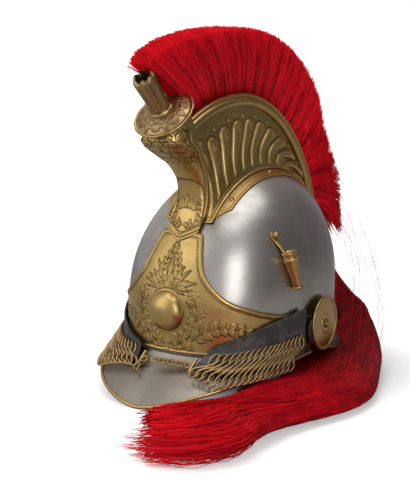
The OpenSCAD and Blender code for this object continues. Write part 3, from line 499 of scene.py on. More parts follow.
FLOAT, COLOR = "NodeSocketFloat", "NodeSocketColor"
tarnish, gn, gl, gi, go = new_group(
    "tarnish",
    [(COLOR, "Clean", (0.7, 0.5, 0.2, 1)), (COLOR, "Dark", (0.2, 0.1, 0.03, 1)),
     (FLOAT, "Amount", 0.5), (FLOAT, "Rough Low", 0.2), (FLOAT, "Rough High", 0.45),
     (FLOAT, "Hollow", 0.0)],
    [(COLOR, "Color"), (FLOAT, "Roughness"), (FLOAT, "Height")])
where = gn.new("ShaderNodeTexCoord")
broad = noise(gn, 26, 5, 0.62)
fine = noise(gn, 420, 4, 0.7)
speck = noise(gn, 130, 3, 0.6)
for t in (broad, fine, speck):
    gl.new(where.outputs["Object"], t.inputs["Vector"])
patch = band(gn, gl, broad.outputs[0], 0.44, 0.66)
spots = band(gn, gl, speck.outputs[0], 0.58, 0.72)
dirt = sums(gn, gl, "ADD", sums(gn, gl, "MULTIPLY", patch, 0.4), sums(gn, gl, "MULTIPLY", spots, 0.35))
dirt = sums(gn, gl, "MULTIPLY", dirt, gi.outputs["Amount"])
dirt = sums(gn, gl, "ADD", dirt, gi.outputs["Hollow"])
clamp = gn.new("ShaderNodeClamp")
gl.new(dirt, clamp.inputs[0])
gl.new(blend_colour(gn, gl, clamp.outputs[0], gi.outputs["Clean"], gi.outputs["Dark"]),
       go.inputs["Color"])
span = gn.new("ShaderNodeMix")
gl.new(clamp.outputs[0], span.inputs[0])
gl.new(gi.outputs["Rough Low"], span.inputs[2])
gl.new(gi.outputs["Rough High"], span.inputs[3])
gl.new(span.outputs[0], go.inputs["Roughness"])
gl.new(fine.outputs[0], go.inputs["Height"])

scratches, gn, gl, gi, go = new_group(
    "scratches", [(FLOAT, "Scale", 60.0)], [(FLOAT, "Lines")])
where = gn.new("ShaderNodeTexCoord")
lines = None
for turn_by in ((0.2, 0.1, 0.4), (1.3, 0.7, -0.5), (0.6, -0.9, 1.9)):
    spin = gn.new("ShaderNodeMapping")
    spin.inputs["Rotation"].default_value = turn_by
    spin.inputs["Scale"].default_value = (1, 1, 26)
    gl.new(where.outputs["Object"], spin.inputs["Vector"])
    streak = noise(gn, 14, 2, 0.5)
    gl.new(spin.outputs[0], streak.inputs["Vector"])
    gl.new(gi.outputs["Scale"], streak.inputs["Scale"])
    part = band(gn, gl, streak.outputs[0], 0.64, 0.72)
    lines = part if lines is None else sums(gn, gl, "MAXIMUM", lines, part)
gl.new(lines, go.inputs["Lines"])
print("groups:", [g.name for g in bpy.data.node_groups])


# %% [markdown]
# Metal in these materials is always the Principled shader at full metallic. What makes brass look
# old is the brown that stays in its hollows after polishing, so the ornament's own `hollow`
# attribute leads the tarnish.

# %% Metals
def use_group(n, group, **values):
    node = n.new("ShaderNodeGroup")
    node.node_tree = group
    for k, v in values.items():
        node.inputs[k.replace("_", " ").title()].default_value = v
    return node


def metal(name, clean, dark, amount, rough, grain, hollows=0.0, lines=0.0):
    """`dark` stands where the metal is tarnished, by `amount`, and `rough` is its finest and dullest."""
    mat, n, l, shader = shaded(name)
    shader.inputs["Metallic"].default_value = 1.0
    skin = use_group(n, tarnish, clean=clean, dark=dark, amount=amount, rough_low=rough[0],
                     rough_high=rough[1])
    if hollows:
        deep = attribute(n, "hollow").outputs["Fac"]
        l.new(sums(n, l, "MULTIPLY", deep, hollows), skin.inputs["Hollow"])
    l.new(skin.outputs["Color"], shader.inputs["Base Color"])
    roughness = skin.outputs["Roughness"]
    if lines:
        scr = use_group(n, scratches, scale=14.0)
        roughness = sums(n, l, "ADD", roughness, sums(n, l, "MULTIPLY", scr.outputs[0], lines))
    l.new(roughness, shader.inputs["Roughness"])
    bump(n, l, shader, skin.outputs["Height"], grain, 0.001)
    return mat


steel = metal("polished_steel", (0.51, 0.485, 0.455, 1), (0.25, 0.205, 0.175, 1), 0.75, (0.31, 0.43),
              0.06, 0, 0.08)
steel_dull = metal("dull_steel", (0.33, 0.29, 0.25, 1), (0.20, 0.15, 0.12, 1), 0.7, (0.36, 0.52), 0.08, 0,
                   0.08)
brass = metal("embossed_brass", (0.61, 0.42, 0.155, 1), (0.10, 0.058, 0.020, 1), 0.5, (0.31, 0.5), 0.06,
              1.15)
brass_plain = metal("plain_brass", (0.56, 0.375, 0.145, 1), (0.25, 0.15, 0.06, 1), 0.6, (0.27, 0.45),
                    0.05)
brass_old = metal("toned_brass", (0.47, 0.32, 0.145, 1), (0.10, 0.06, 0.028, 1), 0.6, (0.33, 0.55), 0.08,
                  0.9)
print("metals:", [m.name for m in bpy.data.materials])

# %% [markdown]
# Black strap leather is smooth with fine creases and greyer where it has rubbed; the liner inside
# is thinner, brown and duller.

# %% Leather, wood and cord
def leather(name, colour, worn, rough, scale=900):
    mat, n, l, shader = shaded(name)
    where = n.new("ShaderNodeTexCoord")
    pores = n.new("ShaderNodeTexVoronoi")
    pores.inputs["Scale"].default_value = scale
    rubs = noise(n, 70, 5, 0.65)
    creases = noise(n, 220, 5, 0.7)
    for t in (pores, rubs, creases):
        l.new(where.outputs["Object"], t.inputs["Vector"])
    wear = band(n, l, rubs.outputs[0], 0.5, 0.72)
    l.new(blend_colour(n, l, wear, colour, worn), shader.inputs["Base Color"])
    l.new(band(n, l, rubs.outputs[0], 0.3, 0.7, rough[0], rough[1]), shader.inputs["Roughness"])
    bump(n, l, shader, sums(n, l, "ADD", pores.outputs["Distance"], creases.outputs[0]), 0.35, 0.0006)
    return mat


strap_leather = leather("strap_leather", (0.035, 0.033, 0.034, 1), (0.13, 0.12, 0.12, 1), (0.38, 0.62))
liner_leather = leather("liner_leather", (0.10, 0.055, 0.03, 1), (0.22, 0.15, 0.10, 1), (0.6, 0.85), 700)
lace_cord = leather("lace_cord", (0.42, 0.36, 0.27, 1), (0.25, 0.2, 0.14, 1), (0.8, 0.95), 1500)
dark_wood = leather("stained_wood", (0.07, 0.04, 0.025, 1), (0.15, 0.09, 0.05, 1), (0.55, 0.8), 300)


# %% [markdown]
# Horsehair is coarse and glossy. Every strand carries two numbers: `strand`, its shade, which is partly its
# own tone and partly painted light and shade, and `along`, how far a point is from its root. The dye is
# deep crimson, and
# `along` paints light into it: darker at the root and a little pinker where light gets through at the tip.

# %% Horsehair
def horsehair(name, deep, bright):
    mat, n, l, shader = shaded(name)
    own, run = attribute(n, "strand"), attribute(n, "along")
    where = n.new("ShaderNodeTexCoord")
    # broad patches of lighter and darker red: partly the hair's own uneven tone, partly painted light and
    # shade on its clumps
    clump = noise(n, 55, 3, 0.6)
    l.new(where.outputs["Object"], clump.inputs["Vector"])
    shade = sums(n, l, "ADD", sums(n, l, "MULTIPLY", own.outputs["Fac"], 0.55),
                 sums(n, l, "MULTIPLY", clump.outputs[0], 0.4))
    # painted light: the colour grows lighter from root to tip, pinker where light gets through
    shade = sums(n, l, "ADD", shade, sums(n, l, "MULTIPLY", run.outputs["Fac"], 0.22))
    l.new(blend_colour(n, l, band(n, l, shade, 0.24, 0.74), deep, bright), shader.inputs["Base Color"])
    l.new(band(n, l, own.outputs["Fac"], 0, 1, 0.42, 0.6), shader.inputs["Roughness"])
    shader.inputs["Specular IOR Level"].default_value = 0.11
    return mat


red_hair = horsehair("red_horsehair", (0.17, 0.0004, 0.0025, 1), (1.0, 0.009, 0.026, 1))
print("soft finishes ready")

# %% [markdown]
# The skull is one drawn steel shell. A grid wraps right round it, is closed at the seam and the
# crown, and gets its 1.2 mm wall from Solidify.

# %% Skull
LOW_ROWS = 0.35


def skull_shape(u, v):
    """The first rows go straight up to the widest height, and the others close over the crown."""
    up = np.clip((v - LOW_ROWS) / (1 - LOW_ROWS), 0, 1) * 90
    z = np.where(v < LOW_ROWS, mix(rim_z, wide_z, v / LOW_ROWS),
                 wide_z + (top_z - wide_z) * np.sin(np.radians(up)) ** (2 / crown))
    return skull_at(360 * u, np.minimum(z, top_z - 1e-6))


skull = outward_faces(bent_grid("skull_shell_steel", 180, 92, skull_shape, [steel], merge=True))
place_piece(thick(skull, steel_t), "helmet", "steel", "skull_shell")


# %% [markdown]
# The peak and the neck guard are steel sheets riveted inside the skull's rim, each with a rolled
# brass edging slid over its free edge.

# %% Peak and neck guard
SHEET_PART, lap_high = 0.85, 8


def brim_shape(shape):
    """The sheet takes most of the grid's rows, and the lap inside the skull takes the last ones."""
    r, reach, face, last = shape

    def bend(a, b):
        v = mix(-last, last, a if face < 0 else 1 - a)
        out = brim_at(v, np.minimum(1, (1 - b) / SHEET_PART), r, reach, face, last)
        up = lap_high * np.clip((b - SHEET_PART) / (1 - SHEET_PART), 0, 1)
        inside = skull_at(v if face < 0 else 180 - v, rim_z + up, -steel_t - skin_gap)
        return np.where((b > SHEET_PART)[:, None], inside, out)
    return bend


for name, shape, node in (("peak_steel", peak, "visor"), ("neck_guard_steel", guard, "neck_guard")):
    sheet = thick(bent_grid(name, 150, 40, brim_shape(shape), [steel_dull]), steel_t)
    place_piece(sheet, "helmet", "steel", node)


def sweep(name, path, profile, mats, closed=False):
    """A bent grid whose rows follow a path and whose columns follow a profile across it."""
    path = np.asarray(path, float)
    ahead = unit(np.gradient(path, axis=0))
    side = unit(np.cross(ahead, [0, 0, 1.0]))
    over = np.cross(side, ahead)
    prof = np.asarray(profile, float)
    rows, cols = len(path) - 1, len(prof) - 1

    def bend(a, b):
        i, j = np.rint(a * rows).astype(int), np.rint(b * cols).astype(int)
        return path[i] + prof[j, :1] * side[i] + prof[j, 1:] * over[i]
    return bent_grid(name, rows, cols, bend, mats, merge=closed)


def edging(name, shape, node):
    """A rolled edging along a brim's free edge, closed at both ends."""
    r, reach, face, last = shape
    v = np.linspace(-last, last, 161)
    mid = brim_at(v, np.ones_like(v), r, reach, face, last) - np.array([0, 0, 0.4])
    a = np.radians(np.linspace(0, 360, 17))
    roll = np.stack([2.0 * np.cos(a), 1.9 * np.sin(a)], 1)
    tube = sweep(name, mid, roll, [brass_plain], closed=True)
    place_piece(outward_faces(tube, close=True), "helmet", "brass", node)


edging("peak_edging", peak, "visor_trim")
edging("neck_guard_edging", guard, "neck_guard_trim")

# %% [markdown]
# The front plate is the showpiece. Its branches of oak and laurel were struck shallowly in steel
# dies and chased round afterwards, so they are made as one height field over the sheet: a leaf is a
# low plateau with a midrib, and its outline and veins are also written down as dark lines, where
# the brown stays. The highest leaf at a point wins, which layers them as struck leaves are.

# %% Ornament
class Relief:
    """Heights in millimetres over points (x, y) of an unrolled sheet, and how dark each one is."""

    CUT = 0.55

    def __init__(self, x, y):
        self.x, self.y = x, y
        self.h = np.zeros_like(x)
        self.dark = np.zeros_like(x)

    def near(self, cx, cy, r):
        return (np.abs(self.x - cx) < r) & (np.abs(self.y - cy) < r)

    def raise_to(self, m, value, line):
        """Raises the points m where the new form is higher, and draws its outline where it is not."""
        over = value > self.h[m]
        self.dark[m] = np.where(over, line, np.maximum(self.dark[m], line * (value <= 0)))
        self.h[m] = np.maximum(self.h[m], value)

    def leaf(self, cx, cy, turn, length, width, rise, lobes=0.0, curl=0.0):
        """A leaf from its root (cx, cy) along `turn` degrees, with midrib, veins and lobed edge."""
        m = self.near(cx, cy, length * 1.15)
        if not m.any():
            return
        a = math.radians(turn)
        dx, dy = self.x[m] - cx, self.y[m] - cy
        p = (dx * math.cos(a) + dy * math.sin(a)) / length
        q = (-dx * math.sin(a) + dy * math.cos(a)) / width - curl * p * p
        half = np.sin(np.pi * np.clip(p, 0, 1) ** 0.8) ** 0.75
        if lobes:
            half = half * (0.78 + 0.3 * np.cos(2 * np.pi * lobes * p + np.pi))
        r = np.abs(q) / np.maximum(half, 1e-3)
        on = (p > 0) & (p < 1) & (r < 1)
        slope = np.maximum(width * half, 0.3)
        body = np.sqrt(np.clip(1 - r ** 4, 0, 1)) * (0.7 + 0.3 * np.sin(np.pi * np.clip(p, 0, 1)))
        rib = 0.28 * line_at(q * width, 0.28)
        veins = 0.10 * np.cos(2 * np.pi * (p * length / 2.1 - np.abs(q) * 1.4))
        height = np.where(on, rise * (body - rib + veins * (r < 0.8)), 0)
        rim_line = line_at((r - 1.0) * slope, 0.62) * (p > -0.04) * (p < 1.04)
        line = np.maximum(rim_line, 0.7 * line_at(q * width, 0.4) * on)
        self.raise_to(m, height, line)

    def bead(self, cx, cy, r, rise):
        """A round berry or pearl."""
        m = self.near(cx, cy, r * 1.1)
        d = ((self.x[m] - cx) ** 2 + (self.y[m] - cy) ** 2) / r ** 2
        self.raise_to(m, rise * np.sqrt(np.clip(1 - d, 0, 1)), line_at((np.sqrt(d) - 1) * r, self.CUT))

    def stem(self, path, r, rise):
        """A half round along a path."""
        path = np.asarray(path, float)
        lo, hi = path.min(0) - r, path.max(0) + r
        m = (self.x > lo[0]) & (self.x < hi[0]) & (self.y > lo[1]) & (self.y < hi[1])
        d = self.distance(path, m)
        self.raise_to(m, rise * dome(d, r), line_at(d - r, self.CUT))

    def distance(self, path, m):
        """How far the points m are from a path."""
        px, py = self.x[m], self.y[m]
        best = np.full(px.shape, 1e9)
        for (ax, ay), (bx, by) in zip(path[:-1], path[1:]):
            ex, ey = bx - ax, by - ay
            t = np.clip(((px - ax) * ex + (py - ay) * ey) / max(ex * ex + ey * ey, 1e-9), 0, 1)
            best = np.minimum(best, (px - ax - t * ex) ** 2 + (py - ay - t * ey) ** 2)
        return np.sqrt(best)

    def branch(self, path, pitch, length, width, rise, lobes, splay, fruit, stem):
        """A stem with leaves on alternate sides, and fruit in some of the forks."""
        path = np.asarray(path, float)
        steps = np.linalg.norm(np.diff(path, axis=0), axis=1)
        total = steps.sum()
        along = run_along(path)
        self.stem(path, stem, rise * 0.7)
        count = int(total / pitch)
        for k in range(count + 1):
            s = min(total, (k + 0.4) * pitch)
            (x, y), (x1, y1), (x2, y2) = (
                [np.interp(spot, along, path[:, k]) for k in (0, 1)] for spot in (s, s - 0.5, s + 0.5))
            way = math.degrees(math.atan2(y2 - y1, x2 - x1))
            shrink = 1 - 0.35 * s / total
            for side in (-1, 1):
                wobble = 7 * math.sin(k * 2.4 + side)
                self.leaf(x, y, way + side * (splay + wobble), length * shrink, width * shrink, rise,
                          lobes, side * 0.25)
            if fruit and k % 2 == 1:
                side = 1 if k % 4 == 1 else -1
                a = math.radians(way + side * 80)
                near, far = fruit * 2.6, fruit * 3.9
                self.bead(x + near * math.cos(a), y + near * math.sin(a), fruit, rise * 1.1)
                self.bead(x + far * math.cos(a - 0.3), y + far * math.sin(a - 0.3), fruit * 0.7, rise)
        self.leaf(path[-1, 0], path[-1, 1], way, length * 0.75, width * 0.7, rise, lobes)


def smooth_step(a, b, c, d, f):
    """Point at f from b to c on the smooth curve that also takes in a and d."""
    return 0.5 * ((2 * b) + (c - a) * f + (2 * a - 5 * b + 4 * c - d) * f ** 2
                  + (3 * b - a - 3 * c + d) * f ** 3)


def curve_through(points, n=40):
    """A smooth run of points through a few given ones."""
    p = np.asarray(points, float)
    t = np.linspace(0, len(p) - 1, n)
    i = np.clip(t.astype(int), 0, len(p) - 2)
    f = (t - i)[:, None]
    return smooth_step(p[np.maximum(i - 1, 0)], p[i], p[i + 1], p[np.minimum(i + 2, len(p) - 1)], f)


def run_along(points):
    """How far each point of a path lies from its first one."""
    return np.concatenate([[0], np.cumsum(np.linalg.norm(np.diff(points, axis=0), axis=1))])


turns = np.linspace(0, 90, 181)
arc_len = run_along(skull_at(turns, 90.0))
plate_end = 83
print("front plate runs", round(float(np.interp(plate_end, turns, arc_len))), "mm to each side")

# %% [markdown]
# The plate's outline rises in a sweep from each ear to the foot of the crest. The grid's columns
# are turns about the skull, and each column stops at that outline. Heights are read in unrolled
# millimetres, so leaves keep their shape where the skull curves away.

# %% Front plate
plate_edge = [(0, 170), (15, 168), (17, 148), (19.5, 132), (23.5, 123), (28, 115), (34, 107),
              (41, 101), (48, 97), (55, 93), (66, 88), (75, 85), (83, 83), (90, 79)]
boss_r, boss_z, boss_rise = 20.0, 90.0, 12.0
plate_foot = rim_z + 2.5


def rounded(values, reach):
    """The same run of values, averaged over `reach` neighbours on each side."""
    kernel = np.hanning(2 * reach + 1) / np.hanning(2 * reach + 1).sum()
    return np.convolve(np.pad(values, reach, mode="edge"), kernel, mode="valid")


smooth_z = rounded(lookup(turns, plate_edge), 6)


def plate_xy(u, z):
    """The plate's points, unrolled."""
    return np.sign(u) * np.interp(np.abs(u), turns, arc_len) * fill(z), z


def plate_spot(a, b):
    """Turn and height at a place of the grid, with more columns near the middle."""
    u = 90 * spow(a * 2 - 1, 1.25)
    return u, mix(plate_foot, np.interp(np.abs(u), turns, smooth_z), b)


def plate_marks(u, z):
    """The plate's relief in mm and the darkness of its chased lines."""
    x, y = plate_xy(u, z)
    r = Relief(x, y)
    ex, ey = plate_xy(turns, smooth_z)
    for s in (-1, 1):
        r.branch(curve_through([(s * 2, 57), (s * 16, 59), (s * 27, 68), (s * 33, 80), (s * 35, 92),
                                (s * 31, 104)]),
                 11.5, 16.0, 6.6, 0.65, 2.5, 44, 1.5, 0.5)
        r.branch(curve_through([(s * 30, 64), (s * 44, 73), (s * 60, 77), (s * 76, 75), (s * 92, 69)]),
                 9.4, 12.0, 4.6, 0.6, 0.0, 50, 1.5, 0.5)
    for k in range(-6, 7):
        long = 31 - 2.0 * abs(k) + 4.5 * math.sin(2.6 * k + 1)
        r.leaf(1.7 * k, 113 + 0.2 * abs(k), 90 - 12.5 * k, long, 2.4, 0.38, 0.0, -0.42 * k)
        r.leaf(1.2 * k, 112, 82 - 15 * k, 0.58 * long, 2.1, 0.48, 0.0, -0.5 * k)
    for s in (-1, 1):
        r.branch(curve_through([(s * 4, 116), (s * 9, 128), (s * 6, 142), (s * 1, 152)]), 6.5, 9.5, 2.5,
                 0.35, 0.0, 34, 0.0, 0.4)
    reach = np.hypot(x, y - boss_z)
    every = np.ones(len(x), bool)
    edge = np.minimum(r.distance(np.stack([ex, ey], 1), every), r.distance(np.stack([-ex, ey], 1), every))
    base = y - plate_foot
    clear = ease((reach - 22.5) / 1.5) * ease((edge - 6.0) / 1.0) * ease((base - 3.0) / 1)
    ring = 0.35 * line_at(reach - 21.4, 0.7)
    roll = np.maximum(0.9 * dome(edge - 2.7, 1.9), 0.5 * line_at(edge - 5.4, 0.4))
    low_roll = 0.7 * line_at(base - 1.4, 0.9)
    height = np.maximum.reduce([r.h * clear, ring, roll, low_roll])
    lines = [0.9 * line_at(edge - k, 0.45) for k in (0.6, 4.7, 6.1)]
    lines += [0.8 * line_at(reach - 20.3, 0.5), 0.5 * line_at(reach - 22.6, 0.45)]
    return height, np.maximum.reduce([r.dark * clear] + lines)


def boss_height(u, z):
    x, y = plate_xy(u, z)
    d = np.hypot(x, y - boss_z) / boss_r
    return np.where((d < 1) & (np.abs(u) < 60), boss_rise * np.sqrt(np.clip(1 - d * d, 0, 1)), 0)


def plate_shape(a, b):
    u, z = plate_spot(a, b)
    ground = plate_gap + brass_t - 0.4
    return skull_at(u, z, ground + boss_height(u, z) + plate_marks(u, z)[0])


def plate_hollow(a, b):
    """The chased lines are darkest; leaves, plain ground and the boss stay bright."""
    u, z = plate_spot(a, b)
    x, y = plate_xy(u, z)
    quiet = np.hypot(x, y - boss_z) < boss_r * 0.98
    return np.where(quiet, 0.0, 0.85 * np.clip(plate_marks(u, z)[1], 0, 1))


plate = bent_grid("front_plate_embossed", 370, 205, plate_shape, [brass], wall=1.1,
                  hollow=plate_hollow)
place_piece(plate, "helmet", "brass", "front_plate")

# %% [markdown]
# Each side of the crest is one sheet: a flange screwed to the skull, an arched foot, then a wall
# with S-curved gadroons that swell to a round head, and one bead over each fork. The wall leans in
# to the ridge.

# %% Crest sides
crest_foot, flange_half, ridge_half, gadroons = 26.0, 40.0, 12.0, 10
foot_front, foot_back = -78.0, 104.0


def wall_at(s, t, out=0.0):
    low = on_skull(np.full_like(s, crest_foot), mix(foot_front, foot_back, s), skin_gap + brass_t)
    high = ridge_at(mix(60.0, 164.0, s), ridge_half, -9.0)
    p = mix(low, high, t[:, None])
    w = ridge_half + (crest_foot - ridge_half) * (1 - t) ** 1.6
    back = 21 * np.sin(np.pi * t ** 0.9) * (1 - s) ** 5
    return xyz(w + out, p[:, 1] + back, p[:, 2])


def wall_marks(s, t):
    """The wall's relief in mm and the darkness of its chased lines."""
    wall_high, pitch = 62.0, 165.0 / gadroons
    head_t, head_r, pearl_t, dot_rows = 0.66, 0.41 * pitch, 0.80, 34
    spread = 0.36 + (s - 0.36) / (1 - 0.22 * (1 - t))
    k = (spread + 0.028 * np.sin(2 * np.pi * t)) * gadroons
    across = np.abs(k - np.floor(k) - 0.5) * 2
    from_middle, from_fork = across * 0.5 * pitch, (1 - across) * 0.5 * pitch
    swell = mix(0.42, 0.82, ease((t - 0.10) / 0.5))
    tail = ease((t - 0.05) / 0.10)
    head = np.hypot(from_middle, (t - head_t) * wall_high)
    below = t < head_t
    lobe = dome(across, swell) * tail * mix(0.55, 1.0, ease((t - 0.1) / 0.5))
    body = np.where(below, lobe, dome(head, head_r))
    top_spark = dome(np.hypot(from_middle, (t - 0.67) * wall_high), 2.7)
    fork = np.hypot(from_fork, (t - pearl_t) * wall_high)
    dots = np.hypot(from_fork, (((t * dot_rows) % 1) - 0.5) * wall_high / dot_rows)
    stipple = dome(dots, 0.55) * ease((t - 0.2) / 0.1) * (1 - ease((t - 0.70) / 0.03))
    inside = ease((s - 0.03) / 0.01) * (1 - ease((s - 0.965) / 0.01))
    rails = [(0.7, 0.935, 0.6), (0.5, 0.905, 0.45), (0.8, 0.03, 0.8)]
    rail = np.maximum.reduce([h * line_at((t - spot) * wall_high, w) for h, spot, w in rails])
    ends = np.minimum(s - 0.012, 0.988 - s) * 200
    side_rail = 0.8 * line_at(ends, 0.9)
    field = np.maximum.reduce([4.4 * body + 0.8 * top_spark, 1.9 * dome(fork, 2.3), 0.45 * stipple])
    field = field * inside
    outline = line_at((across - swell) * 0.5 * pitch, 0.8) * tail * below
    outline = np.maximum(outline, line_at(head - head_r, 0.7) * ~below)
    outline = np.maximum(outline, line_at(fork - 2.4, 0.45)) * inside
    lines = [line_at((t - spot) * wall_high, 0.5) for spot in (0.955, 0.92, 0.885, 0.055)]
    dark = np.maximum.reduce([0.85 * outline, 0.7 * np.maximum.reduce(lines),
                              0.6 * line_at(ends - 1.6, 0.6)])
    return np.maximum.reduce([field, rail, side_rail]), np.maximum(dark, 0.12 * (field < 0.3) * inside)


FLANGE, ARCH = 0.14, 0.24
flange_wide, arch_wide = 11, 3.2


def crest_spot(a, b):
    """Place on the wall for a place on the grid, whose first rows are the flange and the arch."""
    return a, np.clip((b - ARCH) / (1 - ARCH), 0, 1)


def crest_shape(a, b):
    s, t = crest_spot(a, b)
    y = mix(foot_front, foot_back, s)
    rail = np.where(b < FLANGE, 0.45 * line_at((b / FLANGE - 0.10) * flange_wide, 0.8), 0)
    tip = mix(20.5, flange_half, np.clip(s / 0.12, 0, 1) ** 0.8)
    x = mix(tip, np.minimum(tip, crest_foot + arch_wide), np.clip(b / FLANGE, 0, 1))
    flat = on_skull(x, y, skin_gap + brass_t + rail)
    roll = np.clip((b - FLANGE) / (ARCH - FLANGE), 0, 1) * np.pi
    low = on_skull(np.full_like(s, crest_foot + arch_wide * 0.5), y, skin_gap + brass_t)
    arch = low + xyz(1.6 * np.cos(roll) + 0.5 * np.sin(3 * roll), 0, 2.4 * np.sin(roll))
    wall = wall_at(s, t, wall_marks(s, t)[0])
    out = np.where((b < FLANGE)[:, None], flat, np.where((b < ARCH)[:, None], arch, wall))
    closed = mix(1.0, np.minimum(1, 17.5 / out[:, 0]), (1 - ease(s / 0.012)) * (1 - ease(t / 0.9)))
    out[:, 0] *= closed
    return out


def crest_hollow(a, b):
    s, t = crest_spot(a, b)
    seam = np.maximum(line_at(b - FLANGE, 0.008), line_at(b - ARCH, 0.008))
    edge_line = 0.6 * line_at((b / FLANGE - 0.2) * flange_wide, 0.5)
    return np.where(b < ARCH, np.maximum(seam, edge_line), wall_marks(s, t)[1])


def mirrored(shape):
    return lambda a, b: shape(a, b) * np.array([-1, 1, 1])


for name, shape, wall in (("left", crest_shape, 1.0), ("right", mirrored(crest_shape), -1.0)):
    crest_side = bent_grid("crest_%s_embossed" % name, 330, 132, shape, [brass], wall=wall,
                           flip=wall < 0, hollow=crest_hollow)
    place_piece(crest_side, "helmet", "brass", "crest_%s_side" % name)


# %% [markdown]
# The rolled rim is a channel bent along the ridge. It clips over both walls and holds the block
# that the brush is set in.

# %% Crest rim
lip = ridge_half + 0.8
rim_profile = curve_through([(lip + 0.2, -13.8), (lip + 1.5, -13.6), (lip + 3.2, -11.9),
                             (lip + 4.0, -9.4), (lip + 3.4, -6.8), (lip + 1.7, -5.0),
                             (lip + 0.8, -4.4), (lip + 1.5, -3.7), (lip + 1.7, -2.6),
                             (lip + 1.0, -1.4), (lip - 0.6, -0.5), (10, -0.2), (8.2, -0.4),
                             (7.5, -1.4), (7.5, -6)], 44)
rim_profile = np.concatenate([rim_profile, [(0, -6)], rim_profile[::-1] * [-1, 1]])


def rim_shape(a, b):
    i = np.rint(b * (len(rim_profile) - 1)).astype(int)
    x, n = rim_profile[i, 0], rim_profile[i, 1]
    swell = dome(1 - np.clip(a / 0.012, 0, 1), 1)
    x = np.sign(x) * np.minimum(np.abs(x), lip) + np.sign(x) * np.maximum(np.abs(x) - lip, 0) * swell
    return ridge_at(mix(58.0, 165.0, a), x, n)


rim = thick(bent_grid("crest_rim_rolled", 120, len(rim_profile) - 1, rim_shape, [brass_plain]), 1.0)
place_piece(rim, "helmet", "brass", "crest_rim")


# %% [markdown]
# The crest's front is a hollow casting with rows of acanthus scales that curl out under the disc.
# Below them is a panel with a palmette and strings of leaves, which ends on the front plate.

# %% Crest front
disc_y, disc_z, disc_tilt = -115.6, 288.0, 40.0
mask_t = 1.4


def from_disc(x, y):
    """Distance from the disc's axis, measured in the disc's own tilted plane."""
    return np.hypot(x, (y - disc_y) / math.cos(math.radians(disc_tilt)))


def disc_seat(x, y):
    """Height of the disc's underside above its plane."""
    return np.interp(from_disc(x, y), [15, 23.8, 27.3, 63], [4.4, 2.03, -1, -1])


def wall_front(z):
    """How far forward the crest's walls reach at a height."""
    z = np.asarray(z, float)
    t = np.linspace(0, 1, 60)
    line = wall_at(np.zeros(60), t)
    low = line[0]
    return np.where(z < low[2], low[1] + 0.35 * (z - low[2]), np.interp(z, line[:, 2], line[:, 1])) - 0.6


def skull_front(x, z, g):
    """How far forward the skull, grown by g, reaches at one place across and one height."""
    f = fill(z, g)
    across = np.minimum(1, np.abs(x) / ((half_wide + g) * np.maximum(f, 1e-3)))
    return lean(z, g) - (half_len + g) * f * (1 - across ** plan) ** (1 / plan)


mask_depths = [(158, 7), (172, 7.5), (192, 10.5), (214, 14), (228, 20), (240, 27), (252, 34),
               (262, 38), (300, 38)]
mask_widths = [(158, 20), (172, 20), (192, 18.5), (214, 18), (232, 20), (250, 24), (262, 25.5), (300, 26)]


def mask_at(z, a, g):
    """Plan point of the crest's front at height z, a degrees round its own middle, grown by g."""
    w, d = lookup(z, mask_widths) + g, lookup(z, mask_depths) + g
    r = np.radians(a)
    x = w * spow(np.sin(r), 0.75)
    seat = skull_front(x, z, plate_gap + brass_t + 0.4 + mask_t + g)
    return x, np.minimum(seat, wall_front(z) - d * spow(np.maximum(0, np.cos(r)), 0.75))


def disc_plane(y, drop):
    """Height of the disc's plane, lowered square to it."""
    t = math.radians(disc_tilt)
    return disc_z + (y - disc_y) * math.tan(t) - drop / math.cos(t)


def mask_marks(a, z):
    """a in degrees across, z in mm up: unrolled to about 0.42 mm per degree."""
    x = a * 0.42
    r = Relief(x, z)
    scale_low, scale_pitch, row_high, scale_long = 241, 6.6, 6.2, 8.2
    for k in range(7):
        for j in range(-6, 7):
            r.leaf((j + 0.5 * (k % 2)) * scale_pitch, scale_low + row_high * k - 2.2,
                   90 + 26 * math.sin(j * 2.3 + k), scale_long + 2.4, 3.7,
                   1.0 + 0.3 * math.sin(j * 1.7 + 2.1 * k), 1.5, 0.35 * math.sin(3 * j))
    for k in range(-3, 4):
        r.leaf(1.6 * k, 190, 90 - 24 * k, 15 - abs(k), 2.5, 0.7, 0.0, -0.2 * k)
    for s in (-1, 1):
        r.branch(curve_through([(s * 18, 172), (s * 20, 184), (s * 19, 196)]),
                 5.6, 8.0, 3.0, 0.75, 0.0, 46, 0.0, 0.4)
        r.branch(curve_through([(s * 3, 170), (s * 8, 176), (s * 14, 171)]),
                 4.8, 6.4, 2.4, 0.65, 0.0, 44, 0.0, 0.4)
        r.stem(curve_through([(s * 27, 174), (s * 29, 190), (s * 28, 204), (s * 24, 214),
                              (s * 12, 219), (0, 220.5)]), 0.55, 0.6)
    edge = np.minimum(36.5 - np.abs(x), z - (162 + 9 * np.abs(np.sin(np.radians(a)))))
    fillet = 1.3 * dome(edge - 2.6, 2.3)
    clear = ease((edge - 6) / 1.2)
    lines = [0.9 * line_at(edge - k, 0.5) for k in (0.2, 5.2)]
    return np.maximum(r.h * clear, fillet), np.maximum.reduce([r.dark * clear] + lines)


TABLE_PART, tables_top = 0.82, 262


def mask_spot(p, q):
    """Degrees across and height for a place on the grid, below the part that draws in."""
    a = mix(-90.0, 90.0, p)
    return a, mix(160 + 9 * np.abs(np.sin(np.radians(a))), tables_top, q / TABLE_PART)


def draw_in(q):
    return np.clip((q - TABLE_PART) / (1 - TABLE_PART), 0, 1)


